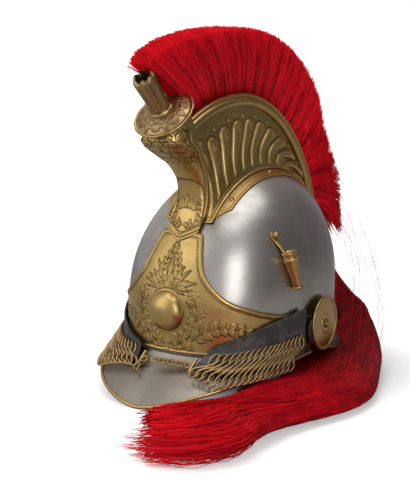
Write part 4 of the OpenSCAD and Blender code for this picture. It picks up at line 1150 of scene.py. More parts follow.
def mask_shape(p, q):
    """The sheet follows the tables up to their top; above, it draws in to the disc's underside."""
    a, z = mask_spot(p, q)
    z0, up = np.minimum(z, tables_top), draw_in(q)
    swell = 4.6 * line_at(z0 + 20 * up - 255, 11) * ease((88 - np.abs(a)) / 12)
    x, y = mask_at(z0, a, -0.6 + swell + mask_marks(a, z0 + 20 * up)[0])
    draw = mix(1.0, np.minimum(1, 26.0 / from_disc(x, y)), up)
    x, y = x * draw, disc_y + (y - disc_y) * draw
    top = disc_plane(y, 0.33 - disc_seat(x, y))
    high = mix(tables_top, np.maximum(tables_top + 1, top), up)
    return xyz(x, y, np.where(q <= TABLE_PART, z0, high))


def mask_hollow(p, q):
    a, z = mask_spot(p, q)
    return 0.85 * np.clip(mask_marks(a, np.minimum(z, tables_top) + 20 * draw_in(q))[1], 0, 1)


front = bent_grid("crest_front_acanthus", 210, 290, mask_shape, [brass], wall=1.2, hollow=mask_hollow)
place_piece(front, "helmet", "brass", "crest_mask")

# %% [markdown]
# The domed disc, the fluted tube, the rosettes and the plume socket are turned pieces, so each is
# a profile spun about its axis. Leaves are struck into the disc as a small relief, the tube gets its
# flutes, and the rosettes get their rolled rim.

# %% Turned pieces
def turned(name, profile, steps, mats, relief=None):
    """A closed profile of (radius, height) in mm, spun about Z; relief gives its shift and its darkness."""
    bm = bmesh.new()
    dots = [bm.verts.new((r * MM, 0, z * MM)) for r, z in profile]
    edges = [bm.edges.new((dots[k], dots[(k + 1) % len(dots)])) for k in range(len(dots))]
    bmesh.ops.spin(bm, geom=dots + edges, cent=(0, 0, 0), axis=(0, 0, 1), angle=2 * math.pi,
                   steps=steps, use_merge=True)
    bmesh.ops.remove_doubles(bm, verts=bm.verts, dist=1e-6)
    bmesh.ops.recalc_face_normals(bm, faces=bm.faces)
    if relief:
        bm.normal_update()
        spots = np.array([v.co for v in bm.verts]) / MM
        up_ness = np.array([v.normal.z for v in bm.verts])
        a, r = np.arctan2(spots[:, 1], spots[:, 0]), np.hypot(spots[:, 0], spots[:, 1])
        out, up, dark = relief(a, r, spots[:, 2], up_ness)
        layer = bm.verts.layers.float.new("hollow")
        bent = xyz((r + out) * np.cos(a), (r + out) * np.sin(a), spots[:, 2] + up) * MM
        for v, p, d in zip(bm.verts, bent, np.broadcast_to(dark, r.shape)):
            v.co = p
            v[layer] = d
    return finish_mesh(bm, name, mats)


def set_down(obj, matrix):
    """Moves a piece's mesh, so that the object itself stays at the origin."""
    obj.data.transform(matrix)
    return obj


def move(x, y, z):
    return Matrix.Translation(Vector((x, y, z)) * MM)


def turned_by(degrees, axis):
    return Matrix.Rotation(math.radians(degrees), 4, axis)


disc_r, dome_rise, socket_foot, socket_bore_r, socket_r, socket_h = 31.7, 7.0, 13.0, 8.0, 10.5, 45.0
at_disc = move(0, disc_y, disc_z) @ turned_by(disc_tilt, "X")
disc_profile = curve_through([(socket_bore_r + 1, dome_rise), (socket_foot, dome_rise),
                              (socket_foot + 3, dome_rise - 0.8), (20.5, 4.9), (disc_r * 0.8, 3.0),
                              (disc_r - 4, 1.6), (disc_r - 2.6, 1.4), (disc_r - 1.2, 1.9),
                              (disc_r, 0.8), (disc_r - 0.5, -0.6), (disc_r - 2, -0.9),
                              (disc_r * 0.8, 1.6), (socket_foot + 2, dome_rise - 2.6),
                              (socket_bore_r + 1, dome_rise - 2)], 70)


def disc_leaves(a, r, z, facing_up):
    """Seven palmettes on the upper face, unrolled about the tube, and a gently lobed edge."""
    round_mm, palmettes = 21.0, 7
    work = Relief(a * round_mm, r)
    for k in range(-4, 5):
        mid = k * 2 * math.pi / palmettes * round_mm
        work.leaf(mid, 14.0, 90, 14.5, 4.6, 1.0, 2.5)
        for s in (-1, 1):
            work.leaf(mid + s * 2.2, 14.5, 90 - s * 30, 13.0, 3.6, 0.85, 2.5, s * 0.3)
            work.leaf(mid + s * 7.4, 18.0, 90 - s * 8, 9.5, 3.0, 0.7, 1.5, -s * 0.3)
        work.bead(mid + math.pi / palmettes * round_mm, 16.6, 1.5, 0.8)
    top = facing_up > 0.2
    clear = top * ease((r - 13.6) / 0.8) * (1 - ease((r - 28.2) / 0.8))
    lines = np.maximum(line_at(r - 28.9, 0.4), line_at(r - 13.4, 0.4)) * top
    lobes = 0.7 * np.abs(np.cos(palmettes * a)) ** 0.6 * ease((r - 27) / 3)
    return lobes, work.h * clear, np.maximum(0.95 * work.dark * clear, 0.8 * lines)


disc = turned("tuft_disc_domed", disc_profile, 320, [brass_old], disc_leaves)
place_piece(set_down(disc, at_disc), "helmet", "old_brass", "tuft_disc")

tube_profile = curve_through([(socket_foot - 0.5, 0.0), (socket_foot - 0.8, 1.8),
                              (socket_foot - 2.2, 3.4), (socket_r - 0.6, 6.5), (socket_r - 0.9, 12),
                              (socket_r - 0.6, socket_h * 0.5), (socket_r, socket_h * 0.7),
                              (socket_r + 0.6, socket_h * 0.92), (socket_r + 0.5, socket_h - 0.4),
                              (socket_r - 0.5, socket_h), (socket_bore_r + 0.3, socket_h - 0.1),
                              (socket_bore_r, socket_h - 0.7), (socket_bore_r, 20),
                              (socket_bore_r, 3.2), (4, 3.0), (0.01, 3.0), (0.01, 0.0), (6, 0.0)], 110)


def flutes(a, r, z, facing_up):
    """Six shallow ribs with engraved edges, and a mouth cut to a lip over each rib."""
    ribs = 6
    wave = np.cos(ribs * a)
    body = np.clip((z - 4) / 3, 0, 1) * np.clip((socket_h + 1 - z) / 6, 0, 1)
    outer = r > socket_bore_r + 0.2
    out = 0.95 * (0.5 + 0.5 * wave) ** 0.6 * body * outer
    ragged = 3.2 + 0.9 * np.sin(3 * a + 1) + 0.5 * np.sin(5 * a)
    drop = -ragged * (0.5 - 0.5 * wave) ** 1.4 * np.clip((z - socket_h + 3) / 3, 0, 1)
    grooves = 0.6 * (0.5 - 0.5 * wave) ** 6 * body
    panel = 0.6 * line_at(np.abs(wave) - 0.35, 0.10) * body
    foot = 0.8 * line_at(z - 4.2, 0.5)
    dark = np.where(outer, np.maximum.reduce([grooves, panel, foot]), 0.55 * (z < socket_h - 3))
    return out, drop, dark


tube_piece = turned("tuft_socket_fluted", tube_profile, 192, [brass_old], flutes)
set_down(tube_piece, at_disc @ move(0, 0, dome_rise))
place_piece(tube_piece, "helmet", "old_brass", "tuft_socket")

# %% [markdown]
# A rosette sits flat on each side of the skull, just behind its widest point. The right one is the
# left one mirrored, so its faces are turned back afterwards.

# %% Rosettes
rosette_r, rosette_y, rosette_z, rosette_turn, rosette_stand = 28.5, 18.5, 67.5, 8.0, 5.2
rosette_x = half_wide * float(fill(rosette_z)) * (1 - (rosette_y / half_len) ** plan) ** (1 / plan)


def at_rosette(side):
    """The rosette's own frame, with Z out of the helmet; side is 1 on the left and -1 on the right."""
    flip = Matrix.Scale(-1, 4, (1, 0, 0)) if side < 0 else Matrix.Identity(4)
    spot = move(rosette_x, rosette_y, rosette_z)
    return flip @ spot @ turned_by(rosette_turn, "Z") @ turned_by(90, "Y")


rosette_profile = curve_through([(2.2, 0.2), (rosette_r - 3, 0.2), (rosette_r - 1.2, -0.1),
                                 (rosette_r, 0.5), (rosette_r, 1.5), (rosette_r - 1.2, 2.2),
                                 (rosette_r - 2.8, 1.7), (rosette_r - 3.6, 1.2),
                                 (rosette_r * 0.6, 1.7), (10.5, 2.2), (9.5, 2.8), (8.2, 2.9),
                                 (7.2, 2.5), (2.2, 2.6)], 64)
for side, name in ((1, "left"), (-1, "right")):
    plate_piece = turned(name + "_rosette_turned", rosette_profile, 128, [brass_plain])
    set_down(plate_piece, at_rosette(side) @ move(0, 0, rosette_stand))
    if side < 0:
        plate_piece.data.flip_normals()
    place_piece(plate_piece, "helmet", "brass", name + "_rosette")

# %% [markdown]
# The plume socket is a slim tapered tube that stands off the skull on a bent bracket. The bracket's
# round end lies under the plume screw.

# %% Plume socket
def facing(point, direction):
    """A frame at a point in mm whose Z looks along a direction, turned as little as it can be."""
    d = Vector(direction).normalized()
    about_z, about_y = math.degrees(math.atan2(d.y, d.x)), math.degrees(math.acos(d.z))
    return move(*point) @ turned_by(about_z, "Z") @ turned_by(about_y, "Y")


plume_mouth = skull_at(71.5, 150.0, 9.4)
plume_foot = skull_at(78.5, 113.0, 6.2)
plume_h, plume_top_r, plume_low_r, plume_bore_r = 40.0, 8.0, 4.6, 3.4
print("plume socket points", np.round(plume_mouth, 1), np.round(plume_foot, 1))

socket_profile = curve_through([(plume_bore_r, 0.0), (plume_top_r - 0.5, 0.0), (plume_top_r, 0.5),
                                (plume_top_r, 2.2), (plume_top_r - 0.9, 3.2),
                                (plume_top_r - 0.9, 6.8), (plume_top_r, 7.8),
                                (plume_top_r - 0.3, 9.6), (plume_top_r - 1.0, 14),
                                (plume_low_r + 0.9, plume_h - 12), (plume_low_r + 0.3, plume_h - 4.5),
                                (plume_low_r - 0.4, plume_h - 3), (plume_low_r + 0.2, plume_h - 1.6),
                                (plume_low_r - 1, plume_h - 0.2), (1.5, plume_h), (0.01, plume_h),
                                (0.01, 27), (plume_bore_r, 27), (plume_bore_r, 12)], 120)
socket_body = turned("plume_socket_body", socket_profile, 96, [brass_plain])
plume_axis = unit(plume_foot - plume_mouth)
set_down(socket_body, facing(plume_mouth, plume_axis))
place_piece(socket_body, "helmet", "brass")


def skull_out(u, z):
    """The skull's normal at one turn and height."""
    step = skull_at(u + 1, z) - skull_at(u - 1, z)
    rise = skull_at(u, z + 0.5) - skull_at(u, z - 0.5)
    return unit(np.cross(step, rise))


pin_turn, pin_z = 64.5, 163.0
pin_spot, pin_out = skull_at(pin_turn, pin_z), skull_out(pin_turn, pin_z)
end_r, strap_half, neck_half = 4.6, 3.6, 2.6


def bracket_shape(a, b):
    """A narrow strap with a round end under the pin, bent out to the tube's collar."""
    foot = plume_mouth - pin_out * 5.4 + plume_axis * 5
    along = unit(foot - pin_spot)
    across = unit(np.cross(along, pin_out))
    length = float(np.linalg.norm(foot - pin_spot)) + end_r
    s, c = b * length - end_r, 2 * a - 1
    half = np.where(s < 0, strap_half * dome(s, end_r), mix(strap_half, neck_half, ease(s / 8)))
    bow = 0.6 * (1 - c ** 2) + 1.4 + 1.2 * ease((s - 3) / 14)
    return pin_spot + along * s[:, None] + across * (c * half)[:, None] + pin_out * bow[:, None]


bracket = thick(bent_grid("plume_socket_bracket", 24, 60, bracket_shape, [brass_plain]), 1.2, 0.0)
place_piece(bracket, "helmet", "brass", "plume_socket")

# %% [markdown]
# The chinstrap is black leather cut to a scalloped edge, with curb-link mail sewn over it. Both
# follow one band surface between an upper line on the skull and a lower line over the peak.

# %% The strap's surface
mail_top_z = [(0, 48), (18, 52), (30, 53), (43, 55), (60, 59), (80, 64.5), (100, 68)]
leather_top_z = [(0, 50.5), (14, 53), (24, 56.5), (43, 68), (61, 80), (81, 88), (100, 92)]
low_reach = [(0, 0.5), (18, 0.6), (31, 0.82), (40, 1), (100, 1)]
low_push = [(0, 5.2), (31, 5.7), (40, 6.2), (62, 7.2), (90, 7.7), (100, 8.2)]
low_lift = [(0, 6.8), (31, 5.3), (40, 1.3), (62, -1.7), (75, -6.7), (90, -10.7), (100, -12.7)]
mail_off, link_pitch, wire_r = 8.2, 6.9, 0.92
tab_end, fold_u, left_end, right_end = 84.0, 52.0, 20.0, 12.0


def smooth_table(table):
    """The same table, rounded at its corners, so that the leather has no creases."""
    u = np.linspace(-10, 110, 481)
    return list(zip(u, rounded(lookup(u, table), 30)))


leather_top_z, mail_top_z, low_reach, low_push, low_lift = (
    smooth_table(table) for table in (leather_top_z, mail_top_z, low_reach, low_push, low_lift))


def mail_low(u):
    """The mail's lower line, over the peak."""
    u = np.atleast_1d(np.asarray(u, float))
    p = brim_at(np.minimum(u, 89.0), lookup(u, low_reach), *peak)
    return p + lookup(u, low_push)[:, None] * outward(u) + xyz(0 * u, 0, lookup(u, low_lift))


def mail_high(u):
    """The mail's upper line, on the skull."""
    u = np.atleast_1d(np.asarray(u, float))
    return skull_at(u, lookup(u, mail_top_z), mail_off)


def band_at(u, q):
    """Point of the mail's own surface, from q = 0 on its upper line to 1 on its lower one."""
    q = np.asarray(q, float)
    return mix(mail_high(u), mail_low(u), (q[:, None] if q.ndim else q))


def band_out(u, q):
    """Direction out of that surface."""
    u = np.atleast_1d(np.asarray(u, float))
    return unit(np.cross(band_at(u + 1, q) - band_at(u - 1, q), mail_high(u) - mail_low(u)))


def leather_at(u, q, g):
    """q from 0 at the top edge on the skull to 1 behind the mail's middle, lifted by g."""
    u = np.atleast_1d(np.asarray(u, float))
    top_z = lookup(u, leather_top_z)
    inset = np.broadcast_to(np.asarray(g, float), u.shape)[:, None]
    rows = np.stack([skull_at(u, top_z, skin_gap + brass_t + 0.6 + g),
                     skull_at(u, mix(top_z, lookup(u, mail_top_z), 0.6), skin_gap + brass_t + 1.2 + g),
                     band_at(u, 0.08) - band_out(u, 0.08) * (5.7 - inset),
                     band_at(u, 0.55) - band_out(u, 0.55) * (5.3 - inset)])
    c = np.arange(len(u))
    k = np.clip(np.broadcast_to(np.asarray(q, float), u.shape) * 3, 0, 2.9999)
    i = k.astype(int)
    f = (k - i)[:, None]
    return smooth_step(*(rows[np.clip(i + n, 0, 3), c] for n in (-1, 0, 1, 2)), f)


middle_line = band_at(np.linspace(right_end, tab_end, 200), 0.5)
print("strap runs", round(float(run_along(middle_line)[-1])), "mm")

# %% [markdown]
# The leather of each side is one piece, which takes the place of both its rear and its front strap.

# %% Leather
leather_t = 2.0


def strap_leather_piece(side, last):
    """One band from the rosette to the turn `last` in front, with a scalloped lower edge."""
    name = "left" if side > 0 else "right"
    flip = np.array([side, 1, 1])

    def bend(a, b):
        u = mix(tab_end, last + 8 * (1 - b), a)
        stitch = 0.22 * line_at(b - 0.08, 0.02) * (np.cos(2 * np.pi * u * 0.8) > 0)
        crease = 0.12 * np.sin(u * 0.9 + 3 * b) * np.sin(2 * np.pi * b * 1.7)
        scallop = 0.035 * (1 - np.abs(np.cos(np.pi * u / 5.2))) * ease((b - 0.9) / 0.1)
        return leather_at(u, b + scallop, 1.9 + stitch + crease) * flip
    sheet = bent_grid(name + "_strap_leather", 160, 26, bend, [strap_leather], flip=side > 0)
    obj = applied(thick(sheet, leather_t))
    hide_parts(name + "_strap_rear", name + "_strap_front")
    ends = [tuple(float(c) for c in band_at(u, 0.5)[0] * flip * MM) for u in (fold_u + 5, fold_u - 5)]
    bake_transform(obj)
    print(obj.name, len(obj.data.polygons), "faces bend from", name + "_rear to", name + "_front")


strap_leather_piece(1, left_end)
strap_leather_piece(-1, right_end)

# %% [markdown]
# Each curb link is a closed loop of round wire. It is waisted in the middle and leans, so that its
# upper lobe lies beside its neighbour's, and each lobe rises over one neighbour and passes under
# the other. Seen together, the lobes make two rows of rings joined by slanting wires.

# %% Links
lobe_at, lobe_half, waist_half = 0.50, 0.76 * link_pitch, 0.13 * link_pitch
weave, weave_turn, link_slant = 1.3 * wire_r, 0.60, 6.5


def step_mm(u):
    """How many millimetres one degree of turn is along the mail's middle."""
    return float(np.linalg.norm(band_at(u + 0.5, 0.5) - band_at(u - 0.5, 0.5)))


def link_places(first, last):
    """The turns at which links sit, one pitch apart."""
    places, u = [], first
    while u >= last:
        places.append(u)
        u -= link_pitch / step_mm(u)
    return places


def link_path(u, n=56):
    """The closed middle line of the link at turn u."""
    t = 2 * np.pi * (np.arange(n) + 0.5) / n
    y, c = np.sin(t), np.cos(t)
    h = np.abs(y)
    half = np.where(h > lobe_at, lobe_half * dome(h - lobe_at, 1 - lobe_at),
                    mix(waist_half, lobe_half, ease(h / lobe_at)))
    x = np.sign(c) * half + link_slant * (0.8 * np.tanh(8.0 * y) + 0.2 * y)
    v = u + x / step_mm(u)
    q = 0.03 + (0.47 - 0.08 * (1 - ease((u - 18) / 32))) * (1 - y)
    swap = np.tanh((weave_turn - h) / 0.05)
    rise = np.sign(y) * np.sign(c) * weave * swap * np.minimum(1, np.abs(c) / 0.4)
    path = band_at(v, q) + band_out(v, q) * rise[:, None]
    kernel = np.array([1, 2, 3, 2, 1]) / 9
    wrapped = np.concatenate([path[-2:], path, path[:2]])
    return np.stack([np.convolve(wrapped[:, k], kernel, mode="valid") for k in range(3)], 1)


def wire_loops(name, paths, r, sides, mats):
    """Closed loops of round wire: a grid is rolled up along each path and its seams are merged."""
    bm = bmesh.new()
    for path in paths:
        n = len(path)
        ahead = unit(np.roll(path, -1, 0) - np.roll(path, 1, 0))
        flat = unit(np.cross(ahead, unit(np.cross(path[n // 4] - path[0], path[n // 2] - path[0]))))
        over = np.cross(flat, ahead)
        fresh = bmesh.ops.create_grid(bm, x_segments=n, y_segments=sides, size=1)["verts"]
        for v in fresh:
            i = round((v.co.x + 1) / 2 * n) % n
            a = (v.co.y + 1) * math.pi
            v.co = Vector((path[i] + r * (math.cos(a) * flat[i] + math.sin(a) * over[i])) * MM)
        bmesh.ops.remove_doubles(bm, verts=fresh, dist=2e-5)
    bmesh.ops.recalc_face_normals(bm, faces=bm.faces)
    return finish_mesh(bm, name, mats)


for side, name, last in ((1, "left", left_end), (-1, "right", right_end)):
    flip = np.array([side, 1, 1])
    every = link_places(tab_end - 6, last + 4)
    for part, places in (("rear", [u for u in every if u >= fold_u + 2]),
                         ("front", [u for u in every if u < fold_u + 2])):
        paths = [link_path(u) * flip for u in places]
        mail = wire_loops("%s_mail_%s" % (name, part), paths, wire_r, 10, [brass_old])
        place_piece(mail, "%s_%s" % (name, part), "old_brass", "%s_%s_links" % (name, part))

# %% [markdown]
# The hair is built from single strands. One tapered tube is the template: an Array modifier copies
# it, and then every copy is bent at once to its own path. Each point keeps two numbers, the shade
# of its strand and how far along it lies, and the hair's colour reads both, as dye and as painted light and
# shade.

# %% Strands
dice = np.random.default_rng(1854)


def strand_template(sides, points):
    """One tube of rings, standing along Z, with its seam closed."""
    bm = bmesh.new()
    bmesh.ops.create_grid(bm, x_segments=sides, y_segments=points - 1, size=1)
    for v in bm.verts:
        a, k = (v.co.x + 1) * math.pi, round((v.co.y + 1) / 2 * (points - 1))
        v.co = (math.cos(a), math.sin(a), k)
    bmesh.ops.remove_doubles(bm, verts=bm.verts, dist=1e-4)
    bmesh.ops.holes_fill(bm, edges=bm.edges, sides=sides)
    return bm


def strand_field(name, paths, radii, shade):
    """Strands along paths (count, points, 3) with radii (count, points), all in mm."""
    count, points, _ = paths.shape
    obj = finish_mesh(strand_template(3, points), name, [red_hair])
    spots = np.empty(len(obj.data.vertices) * 3)
    obj.data.vertices.foreach_get("co", spots)
    spots = spots.reshape(-1, 3)
    copies = obj.modifiers.new("strands", "ARRAY")
    copies.count = count
    copies.use_relative_offset = False
    copies.use_constant_offset = True
    copies.constant_offset_displace = (0, 0, 0)
    full = applied(obj).data
    ahead = unit(np.gradient(paths, axis=1))
    side = unit(np.cross(ahead, np.array([0.31, 0.52, 0.79])))
    over = np.cross(side, ahead)
    j = np.rint(spots[:, 2]).astype(int)
    x, y = spots[None, :, :1], spots[None, :, 1:2]
    bent = paths[:, j] + radii[:, j, None] * (x * side[:, j] + y * over[:, j])
    full.vertices.foreach_set("co", (bent.reshape(-1) * MM).astype(np.float32))
    full.update()
    own = shade[:, j].reshape(-1) if shade.ndim == 2 else np.repeat(shade, len(spots))
    keep_attribute(obj, "strand", own)
    keep_attribute(obj, "along", np.tile(j / (points - 1), count))
    place_piece(obj, "helmet", "horsehair")


def hair_core(grid, strand, along, *nodes_for):
    """A closed piece under the strands, with one shade all over."""
    core = outward_faces(grid, close=True)
    for label, value in (("strand", strand), ("along", along)):
        keep_attribute(core, label, np.full(len(core.data.vertices), value))
    place_piece(core, "helmet", "horsehair", *nodes_for)


def taper(points, root, middle, tip):
    """A strand's radius at each of its points."""
    t = np.linspace(0, 1, points)
    return np.interp(t, [0, 0.45, 0.85, 1], [root, middle, middle * 0.75, tip])


# %% [markdown]
# The brush stands in the rim's channel. Its hairs leave the ridge square to it, lean forward over
# the disc in front and backward at the tail, and are trimmed to one smooth outline. A solid core
# just under the outline keeps daylight from showing through, as thousands of hairs would.

# %% Brush
hair_runs = [(68, 80.7, -50.7), (72, 80.7, -54.9), (76, 76.8, -54.1), (80, 74.0, -51.3),
             (84, 69.8, -46.8), (88, 67.8, -43.4), (92, 65.3, -38.9), (96, 64.0, -33.2),
             (100, 63.9, -28.0), (110, 62.1, -24.1), (120, 59.0, -23.7), (130, 54.6, -24.4),
             (135, 51.6, -24.9), (140, 46.5, -26.6), (145, 38.6, -22.0), (150, 38.3, -8.1),
             (155, 46.2, 13.9), (160, 42.0, 38.0), (163, 40.0, 50.0)]
hair_fan = [(66, 11), (72, 14), (80, 20), (100, 23), (130, 22), (150, 22), (160, 17)]
run_a, run_out, run_back = (np.array(c, float) for c in zip(*hair_runs))


def ridge_frame(a):
    """Root on the ridge, direction outwards, and direction backwards along it."""
    root = ridge_at(a, np.zeros_like(a))
    out = unit(ridge_at(a, np.zeros_like(a), 1.0) - root)
    return root, out, np.stack([0 * a, out[:, 2], -out[:, 1]], 1)


def hair_point(a, c, t, reach=1.0):
    """Point t along the hair that stands at angle a of the ridge and c across its channel."""
    root, out, back = ridge_frame(a)
    far = np.interp(a, run_a, run_out) * reach
    aft = np.interp(a, run_a, run_back) * reach
    fan = lookup(a, hair_fan) * reach
    bow = t ** np.interp(a, [66, 82], [1.1, 1.7])
    x = c * (7.0 + (fan - 7.0) * (0.35 * t + 0.65 * t ** 1.4))
    p = root + out * (far * t - 3.0 * (1 - t))[:, None] + back * (aft * bow)[:, None]
    p[:, 0] = x
    return p


def brush_core_shape(a, b):
    """A closed round about the bundle: b runs up one side, over the trimmed top and down the other."""
    angle = mix(72.5, 160.0, a)
    turn_b = b * np.pi
    c = np.cos(turn_b) * 0.86
    t = 0.93 * np.sin(turn_b) ** 0.28
    wave = 0.03 * np.sin(37 * a * np.pi + 3 * b) * np.sin(11 * b)
    return hair_point(angle, c, np.clip(t * (1 + wave), 0, 0.95))


# painted shade: the core is darker than the strands, standing for the shaded inside of the bundle
hair_core(bent_grid("brush_core", 160, 60, brush_core_shape, [red_hair]), 0.25, 0.3,
          "crest_brush", "brush_base")


def brush_strands(count, edge):
    """Strands of the brush, all through it or, with `edge`, only along its two sides."""
    a = dice.uniform(68.5, 162.5, count)
    if edge:
        c = np.where(dice.random(count) < 0.5, -1, 1) * dice.uniform(0.82, 1.0, count)
    else:
        c = dice.uniform(-1, 1, count)
    reach = 1 + dice.normal(0, 0.012, count) - 0.10 * (dice.random(count) < 0.12) * dice.random(count)
    reach = reach * (1 - 0.03 * np.abs(c) ** 3)
    clump = 0.010 * np.sin(a * 2.1 + 5 * c) + 0.006 * np.sin(a * 5.3 + 1)
    points = 6
    drift_a = dice.normal(0, 0.9, count)
    drift_c = dice.normal(0, 0.05, count)
    paths = np.stack([hair_point(a + drift_a * t ** 1.5, c + drift_c * t, np.full(count, t),
                                 reach + clump * t)
                      for t in np.linspace(0, 1, points)], 1)
    radii = taper(points, 0.5, 0.62, 0.24)[None] * dice.uniform(0.75, 1.2, count)[:, None]
    # lanes of lighter and darker strands: partly the hair's own tone, partly painted highlight streaks and
    # painted shade on its clumps
    sheen_and_tone_lanes = (np.sin(a * 1.13 + 2.1 * c) + 0.8 * np.sin(a * 2.7 - 1.3 * c + 1)
             + 0.6 * np.sin(a * 6.1 + 4 * c))
    shade = np.clip(0.56 + 0.20 * sheen_and_tone_lanes + dice.normal(0, 0.18, count), 0, 1)
    return paths, radii, shade


for k in range(4):
    paths, radii, shade = brush_strands(3500, k < 2)
    strand_field("brush_hair_%d" % (k + 1), paths, radii, shade)

# %% [markdown]
# The mane hangs from the crest's tail behind the skull, falls to the table and is laid forward
# along the left side. Its strands keep their place in the bundle, drift a little, and end at
# different lengths in a ragged tuft.

# %% Mane
mane_path = np.array([(0, 146, 147), (0, 158, 136), (-2, 163, 110), (2, 166, 80), (32, 160, 52),
                      (72, 137, 33), (107, 92, 20), (127, 46, 16), (151, -19, 13), (150, -67, 13),
                      (138, -112, 13), (128, -156, 14.5), (125, -205, 17), (126, -240, 18),
                      (114, -253, 16), (97, -257, 13)], float)
mane_size = np.array([(7, 7), (11, 9), (13, 12), (16, 15), (17, 19), (14, 26), (16, 19), (23, 15),
                      (30, 12.5), (34, 12.5), (37, 12.5), (42, 14), (50, 17), (56, 18), (50, 16),
                      (34, 12)], float)
rail = np.linspace(0, len(mane_path) - 1, 300)
line = curve_through(mane_path, 300)
wide = curve_through(mane_size, 300)
line_ahead = unit(np.gradient(line, axis=0))
line_side = unit(np.cross(line_ahead, np.array([0.01, 0, 1.0])))
line_over = np.cross(line_side, line_ahead)
run = run_along(line)
mane_len = run[-1]
skirt = np.interp([4.8, 9.5], rail, run)
print("mane is", round(mane_len), "mm long")


def mane_point(s, phi, rho):
    """s in mm along the mane, phi round it, rho from 0 at its middle to 1 at its skin."""
    def at(table):
        return np.stack([np.interp(s, run, table[:, k]) for k in range(table.shape[1])], -1)

    size = at(wide)
    bulge = 1 + 0.05 * np.cos(5 * phi + s / 50) + 0.035 * np.cos(9 * phi - s / 31)
    inner = ease((s - skirt[0]) / 50) * (1 - ease((s - skirt[1]) / 60))
    inner = inner * np.maximum(np.cos(phi), 0) ** 1.2
    side_way = (size[..., 0] * bulge * np.cos(phi) + 40 * inner) * rho
    over_way = size[..., 1] * bulge * rho * spow(np.sin(phi), 1 - 0.5 * inner) * (1 - 0.2 * inner)
    p = at(line) + side_way[..., None] * at(line_side) + over_way[..., None] * at(line_over)
    p[..., 2] = np.maximum(p[..., 2], 0.8 + 0.6 * rho)
    return p


def mane_core_shape(a, b):
    """A closed round that narrows where the strands end in a tuft."""
    s = mix(2.0, mane_len - 26, a)
    past = s - (mane_len - 90)
    end = np.sqrt(np.clip(1 - (past / 66) ** 2, 0.02, 1)) * (past > 0) + (past <= 0)
    return mane_point(s, -2 * np.pi * b, 0.9 * end)


# painted shade: the core is far darker than the strands, standing for the shaded inside of the mane
hair_core(bent_grid("mane_core", 260, 64, mane_core_shape, [red_hair], merge=True), 0.08, 0.35, "mane")


def mane_strands(count, points, first, last, skin, messy):
    """Strands that start and end in the ranges `first` and `last`, in mm along the mane."""
    s0 = dice.uniform(*first, count)
    s1 = np.minimum(dice.uniform(*last, count), mane_len - 1)
    phi = dice.uniform(0, 2 * np.pi, count)
    rho = dice.uniform(*skin, count)
    t = np.linspace(0, 1, points)
    s = s0[:, None] + (s1 - s0)[:, None] * t
    w1, w2 = dice.normal(0, 0.10, (2, count))
    ph = dice.uniform(0, 6.28, count)
    wander = w1[:, None] * np.sin(s / 70 + ph[:, None]) + w2[:, None] * np.sin(s / 33 + ph[:, None] * 2)
    depth = 0.025 * np.sin(s / 45 + ph[:, None] * 3)
    p = mane_point(s, phi[:, None] + wander + 0.12 * np.sin(s / 120), rho[:, None] + depth)
    if messy:
        tuft, most = 110, 1.8 * messy
        late = np.clip((s - (mane_len - tuft)) / tuft, 0, 1) ** 1.5
        stray = np.clip(dice.normal(0, messy, (count, 1, 3)), -most, most)
        p = p + late[..., None] * stray * np.array([1, 1.1, 0.35])
        p[..., 2] = np.maximum(p[..., 2], 0.7)
    radii = taper(points, 0.45, 0.62, 0.18)[None] * dice.uniform(0.7, 1.15, count)[:, None]
    return p, radii


mane_light = np.interp(run, np.interp([0, 3, 5, 7, 9, 12, 15], rail, run),
                       [0.7, 0.5, 0.02, 0.05, 0.45, 0.88, 1.05])


def mane_shade(count, points, first, last):
    """Each strand's own shade, dimmer where the mane lies in the helmet's shadow."""
    s = mix(sum(first) / 2, sum(last) / 2, np.linspace(0, 1, points))
    own, light = np.clip(dice.normal(0.5, 0.27, count), 0, 1), np.interp(s, run, mane_light)
    return own[:, None] * light[None] + 0.12 * (light - 0.5)[None]


full_length = (950, 20, (0, 8), (mane_len - 70, mane_len - 2), (0.93, 1.0), 6.0)
in_between = (1300, 14, (60, mane_len - 330), (mane_len * 0.55, mane_len - 30), (0.95, 1.01), 0.0)
tuft_ends = (2600, 9, (mane_len - 190, mane_len - 70), (mane_len - 60, mane_len), (0.5, 1.05), 11.0)
for k, batch in enumerate((full_length, full_length, in_between, tuft_ends)):
    paths, radii = mane_strands(*batch)
    strand_field("mane_hair_%d" % (k + 1), paths, radii, mane_shade(*batch[:4]))


def stray_hairs(count, points=28):
    """Loose hairs that leave the brush's tail, hang behind the skull and end in the mane."""
    t = np.linspace(0, 1, points)[None, :, None]
    first = hair_point(dice.uniform(138, 158, count), dice.uniform(-0.6, 1, count), np.full(count, 0.85))
    last = mane_point(dice.uniform(150, 240, count), dice.uniform(0, 6.28, count), np.full(count, 0.9))
    spread = dice.uniform(0, 1, (count, 1))
    pull_1 = first + mix(np.array([0, 8, -30]), np.array([14, 18, -50]), spread)
    pull_2 = last + mix(np.array([6, 22, 60]), np.array([34, 30, 80]), spread)
    a, b, c, d = (k[:, None] for k in (first, pull_1, pull_2, last))
    p = a * (1 - t) ** 3 + 3 * b * t * (1 - t) ** 2 + 3 * c * t * t * (1 - t) + d * t ** 3
    p = p + 1.5 * np.sin(np.pi * t) * np.sin(9 * t + 6 * spread[..., None]) * np.array([1, 0.3, 0])
    return p, taper(points, 0.16, 0.17, 0.1)[None] * np.ones((count, 1))


stray_count = 26
paths, radii = stray_hairs(stray_count)
strand_field("mane_stray_hairs", paths, radii, np.clip(dice.normal(0.5, 0.2, stray_count), 0, 1))

# %% [markdown]
# Inside sits the leather liner: a sweatband, eight tongues that rise into the crown, and a lace
# at their tips that gathers them.

# %% Liner
liner_gap, liner_t, lace_r = 5.0, 1.6, 1.2
band_low, band_h = rim_z + 10.0, 34.0
tongue_count, tongue_gap, tongue_top = 8, 0.6, 196.0


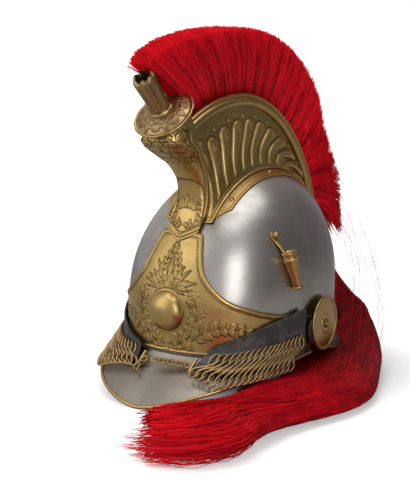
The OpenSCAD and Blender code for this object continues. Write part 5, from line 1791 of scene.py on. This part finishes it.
def liner_band_shape(a, b):
    u = 360 * a
    z = band_low + band_h * b
    pucker = 0.25 * np.sin(np.radians(u) * 32) * b ** 3
    stitch = 0.25 * line_at(b - 0.06, 0.012) * (np.sin(np.radians(u) * 150) > 0)
    return skull_at(u, z, -steel_t - liner_gap - pucker - stitch)


sweatband = bent_grid("liner_sweatband", 240, 24, liner_band_shape, [liner_leather], merge=True)
place_piece(thick(sweatband, liner_t, 1.0), "helmet", "liner_leather", "liner_band")


def tongue_shape(k):
    def bend(a, b):
        low = band_low + band_h + tongue_gap
        round_tip = dome(np.maximum(b - 0.9, 0), 0.105)
        half = (180 / tongue_count - 1.2) * (1 - 0.55 * b ** 2) * round_tip
        u = (k + 0.5) * 360 / tongue_count + half * (2 * a - 1)
        return skull_at(u, mix(low, tongue_top, b), -steel_t - liner_gap - 0.5 * (2 * a - 1) ** 2 * b)
    return bend


for k in range(tongue_count):
    tongue = bent_grid("liner_tongue_%d" % (k + 1), 16, 48, tongue_shape(k), [liner_leather], flip=True)
    stands = ("liner_tongues",) if k == 0 else ()
    place_piece(thick(tongue, liner_t, -1.0), "helmet", "liner_leather", *stands)

lace_gap = steel_t + liner_gap + liner_t + lace_r + 0.6
lace_line = np.array([skull_at(3.75 * i, tongue_top - 2, -lace_gap) for i in range(96)])
lace = wire_loops("liner_lace_gathered", [lace_line], lace_r, 10, [lace_cord])
place_piece(lace, "helmet", "cord", "liner_lace")

# %% [markdown]
# Each strap ends in a leather tab, the outline of two circles, that turns under its rosette.

# %% Strap tabs
tab_low, tab_t = 2.4, 2.2
for side, name in ((1, "left"), (-1, "right")):
    bm = bmesh.new()
    for x, y, r in ((0, 0, 13.0), (3, -21, 11.0)):
        for z in (tab_low, tab_low + tab_t):
            bmesh.ops.create_circle(bm, segments=48, radius=r * MM, matrix=move(x, y, z))
    hull = bmesh.ops.convex_hull(bm, input=bm.verts)
    spare = {g for g in hull["geom_interior"] + hull["geom_unused"] if isinstance(g, bmesh.types.BMVert)}
    bmesh.ops.delete(bm, geom=list(spare), context="VERTS")
    bmesh.ops.dissolve_limit(bm, angle_limit=0.02, verts=bm.verts, edges=bm.edges)
    bmesh.ops.bevel(bm, geom=[e for e in bm.edges if e.calc_face_angle(0) > 1.2], offset=0.5 * MM,
                    segments=2,
                    affect="EDGES", profile=0.5, material=-1)
    tab = finish_mesh(bm, name + "_strap_tab_leather", [strap_leather], smooth=False)
    set_down(tab, at_rosette(side))
    if side < 0:
        tab.data.flip_normals()
    place_piece(tab, name + "_tab", "leather", name + "_strap_tab")

# %% [markdown]
# Screws, rivets, nuts, bars, rings and the hook have their true shape already, so those solids stay
# and only take the finishes of this lesson.

# %% Finishes for the solids that stay
kept = {brass_old: ("rosette_screws", "crest_screws", "plume_screw", "ring_chain", "strap_hook"),
        brass_plain: ("visor_rivets", "mask_rivet", "left_strap_bar", "right_strap_bar"),
        steel_dull: ("crest_nuts", "rosette_nuts", "neck_guard_rivets"),
        dark_wood: ("mane_block",)}
for finish, names in kept.items():
    for name in names:
        for slot in nodes[name].material_slots:
            slot.material = finish
print("solids kept:", sum(len(names) for names in kept.values()))
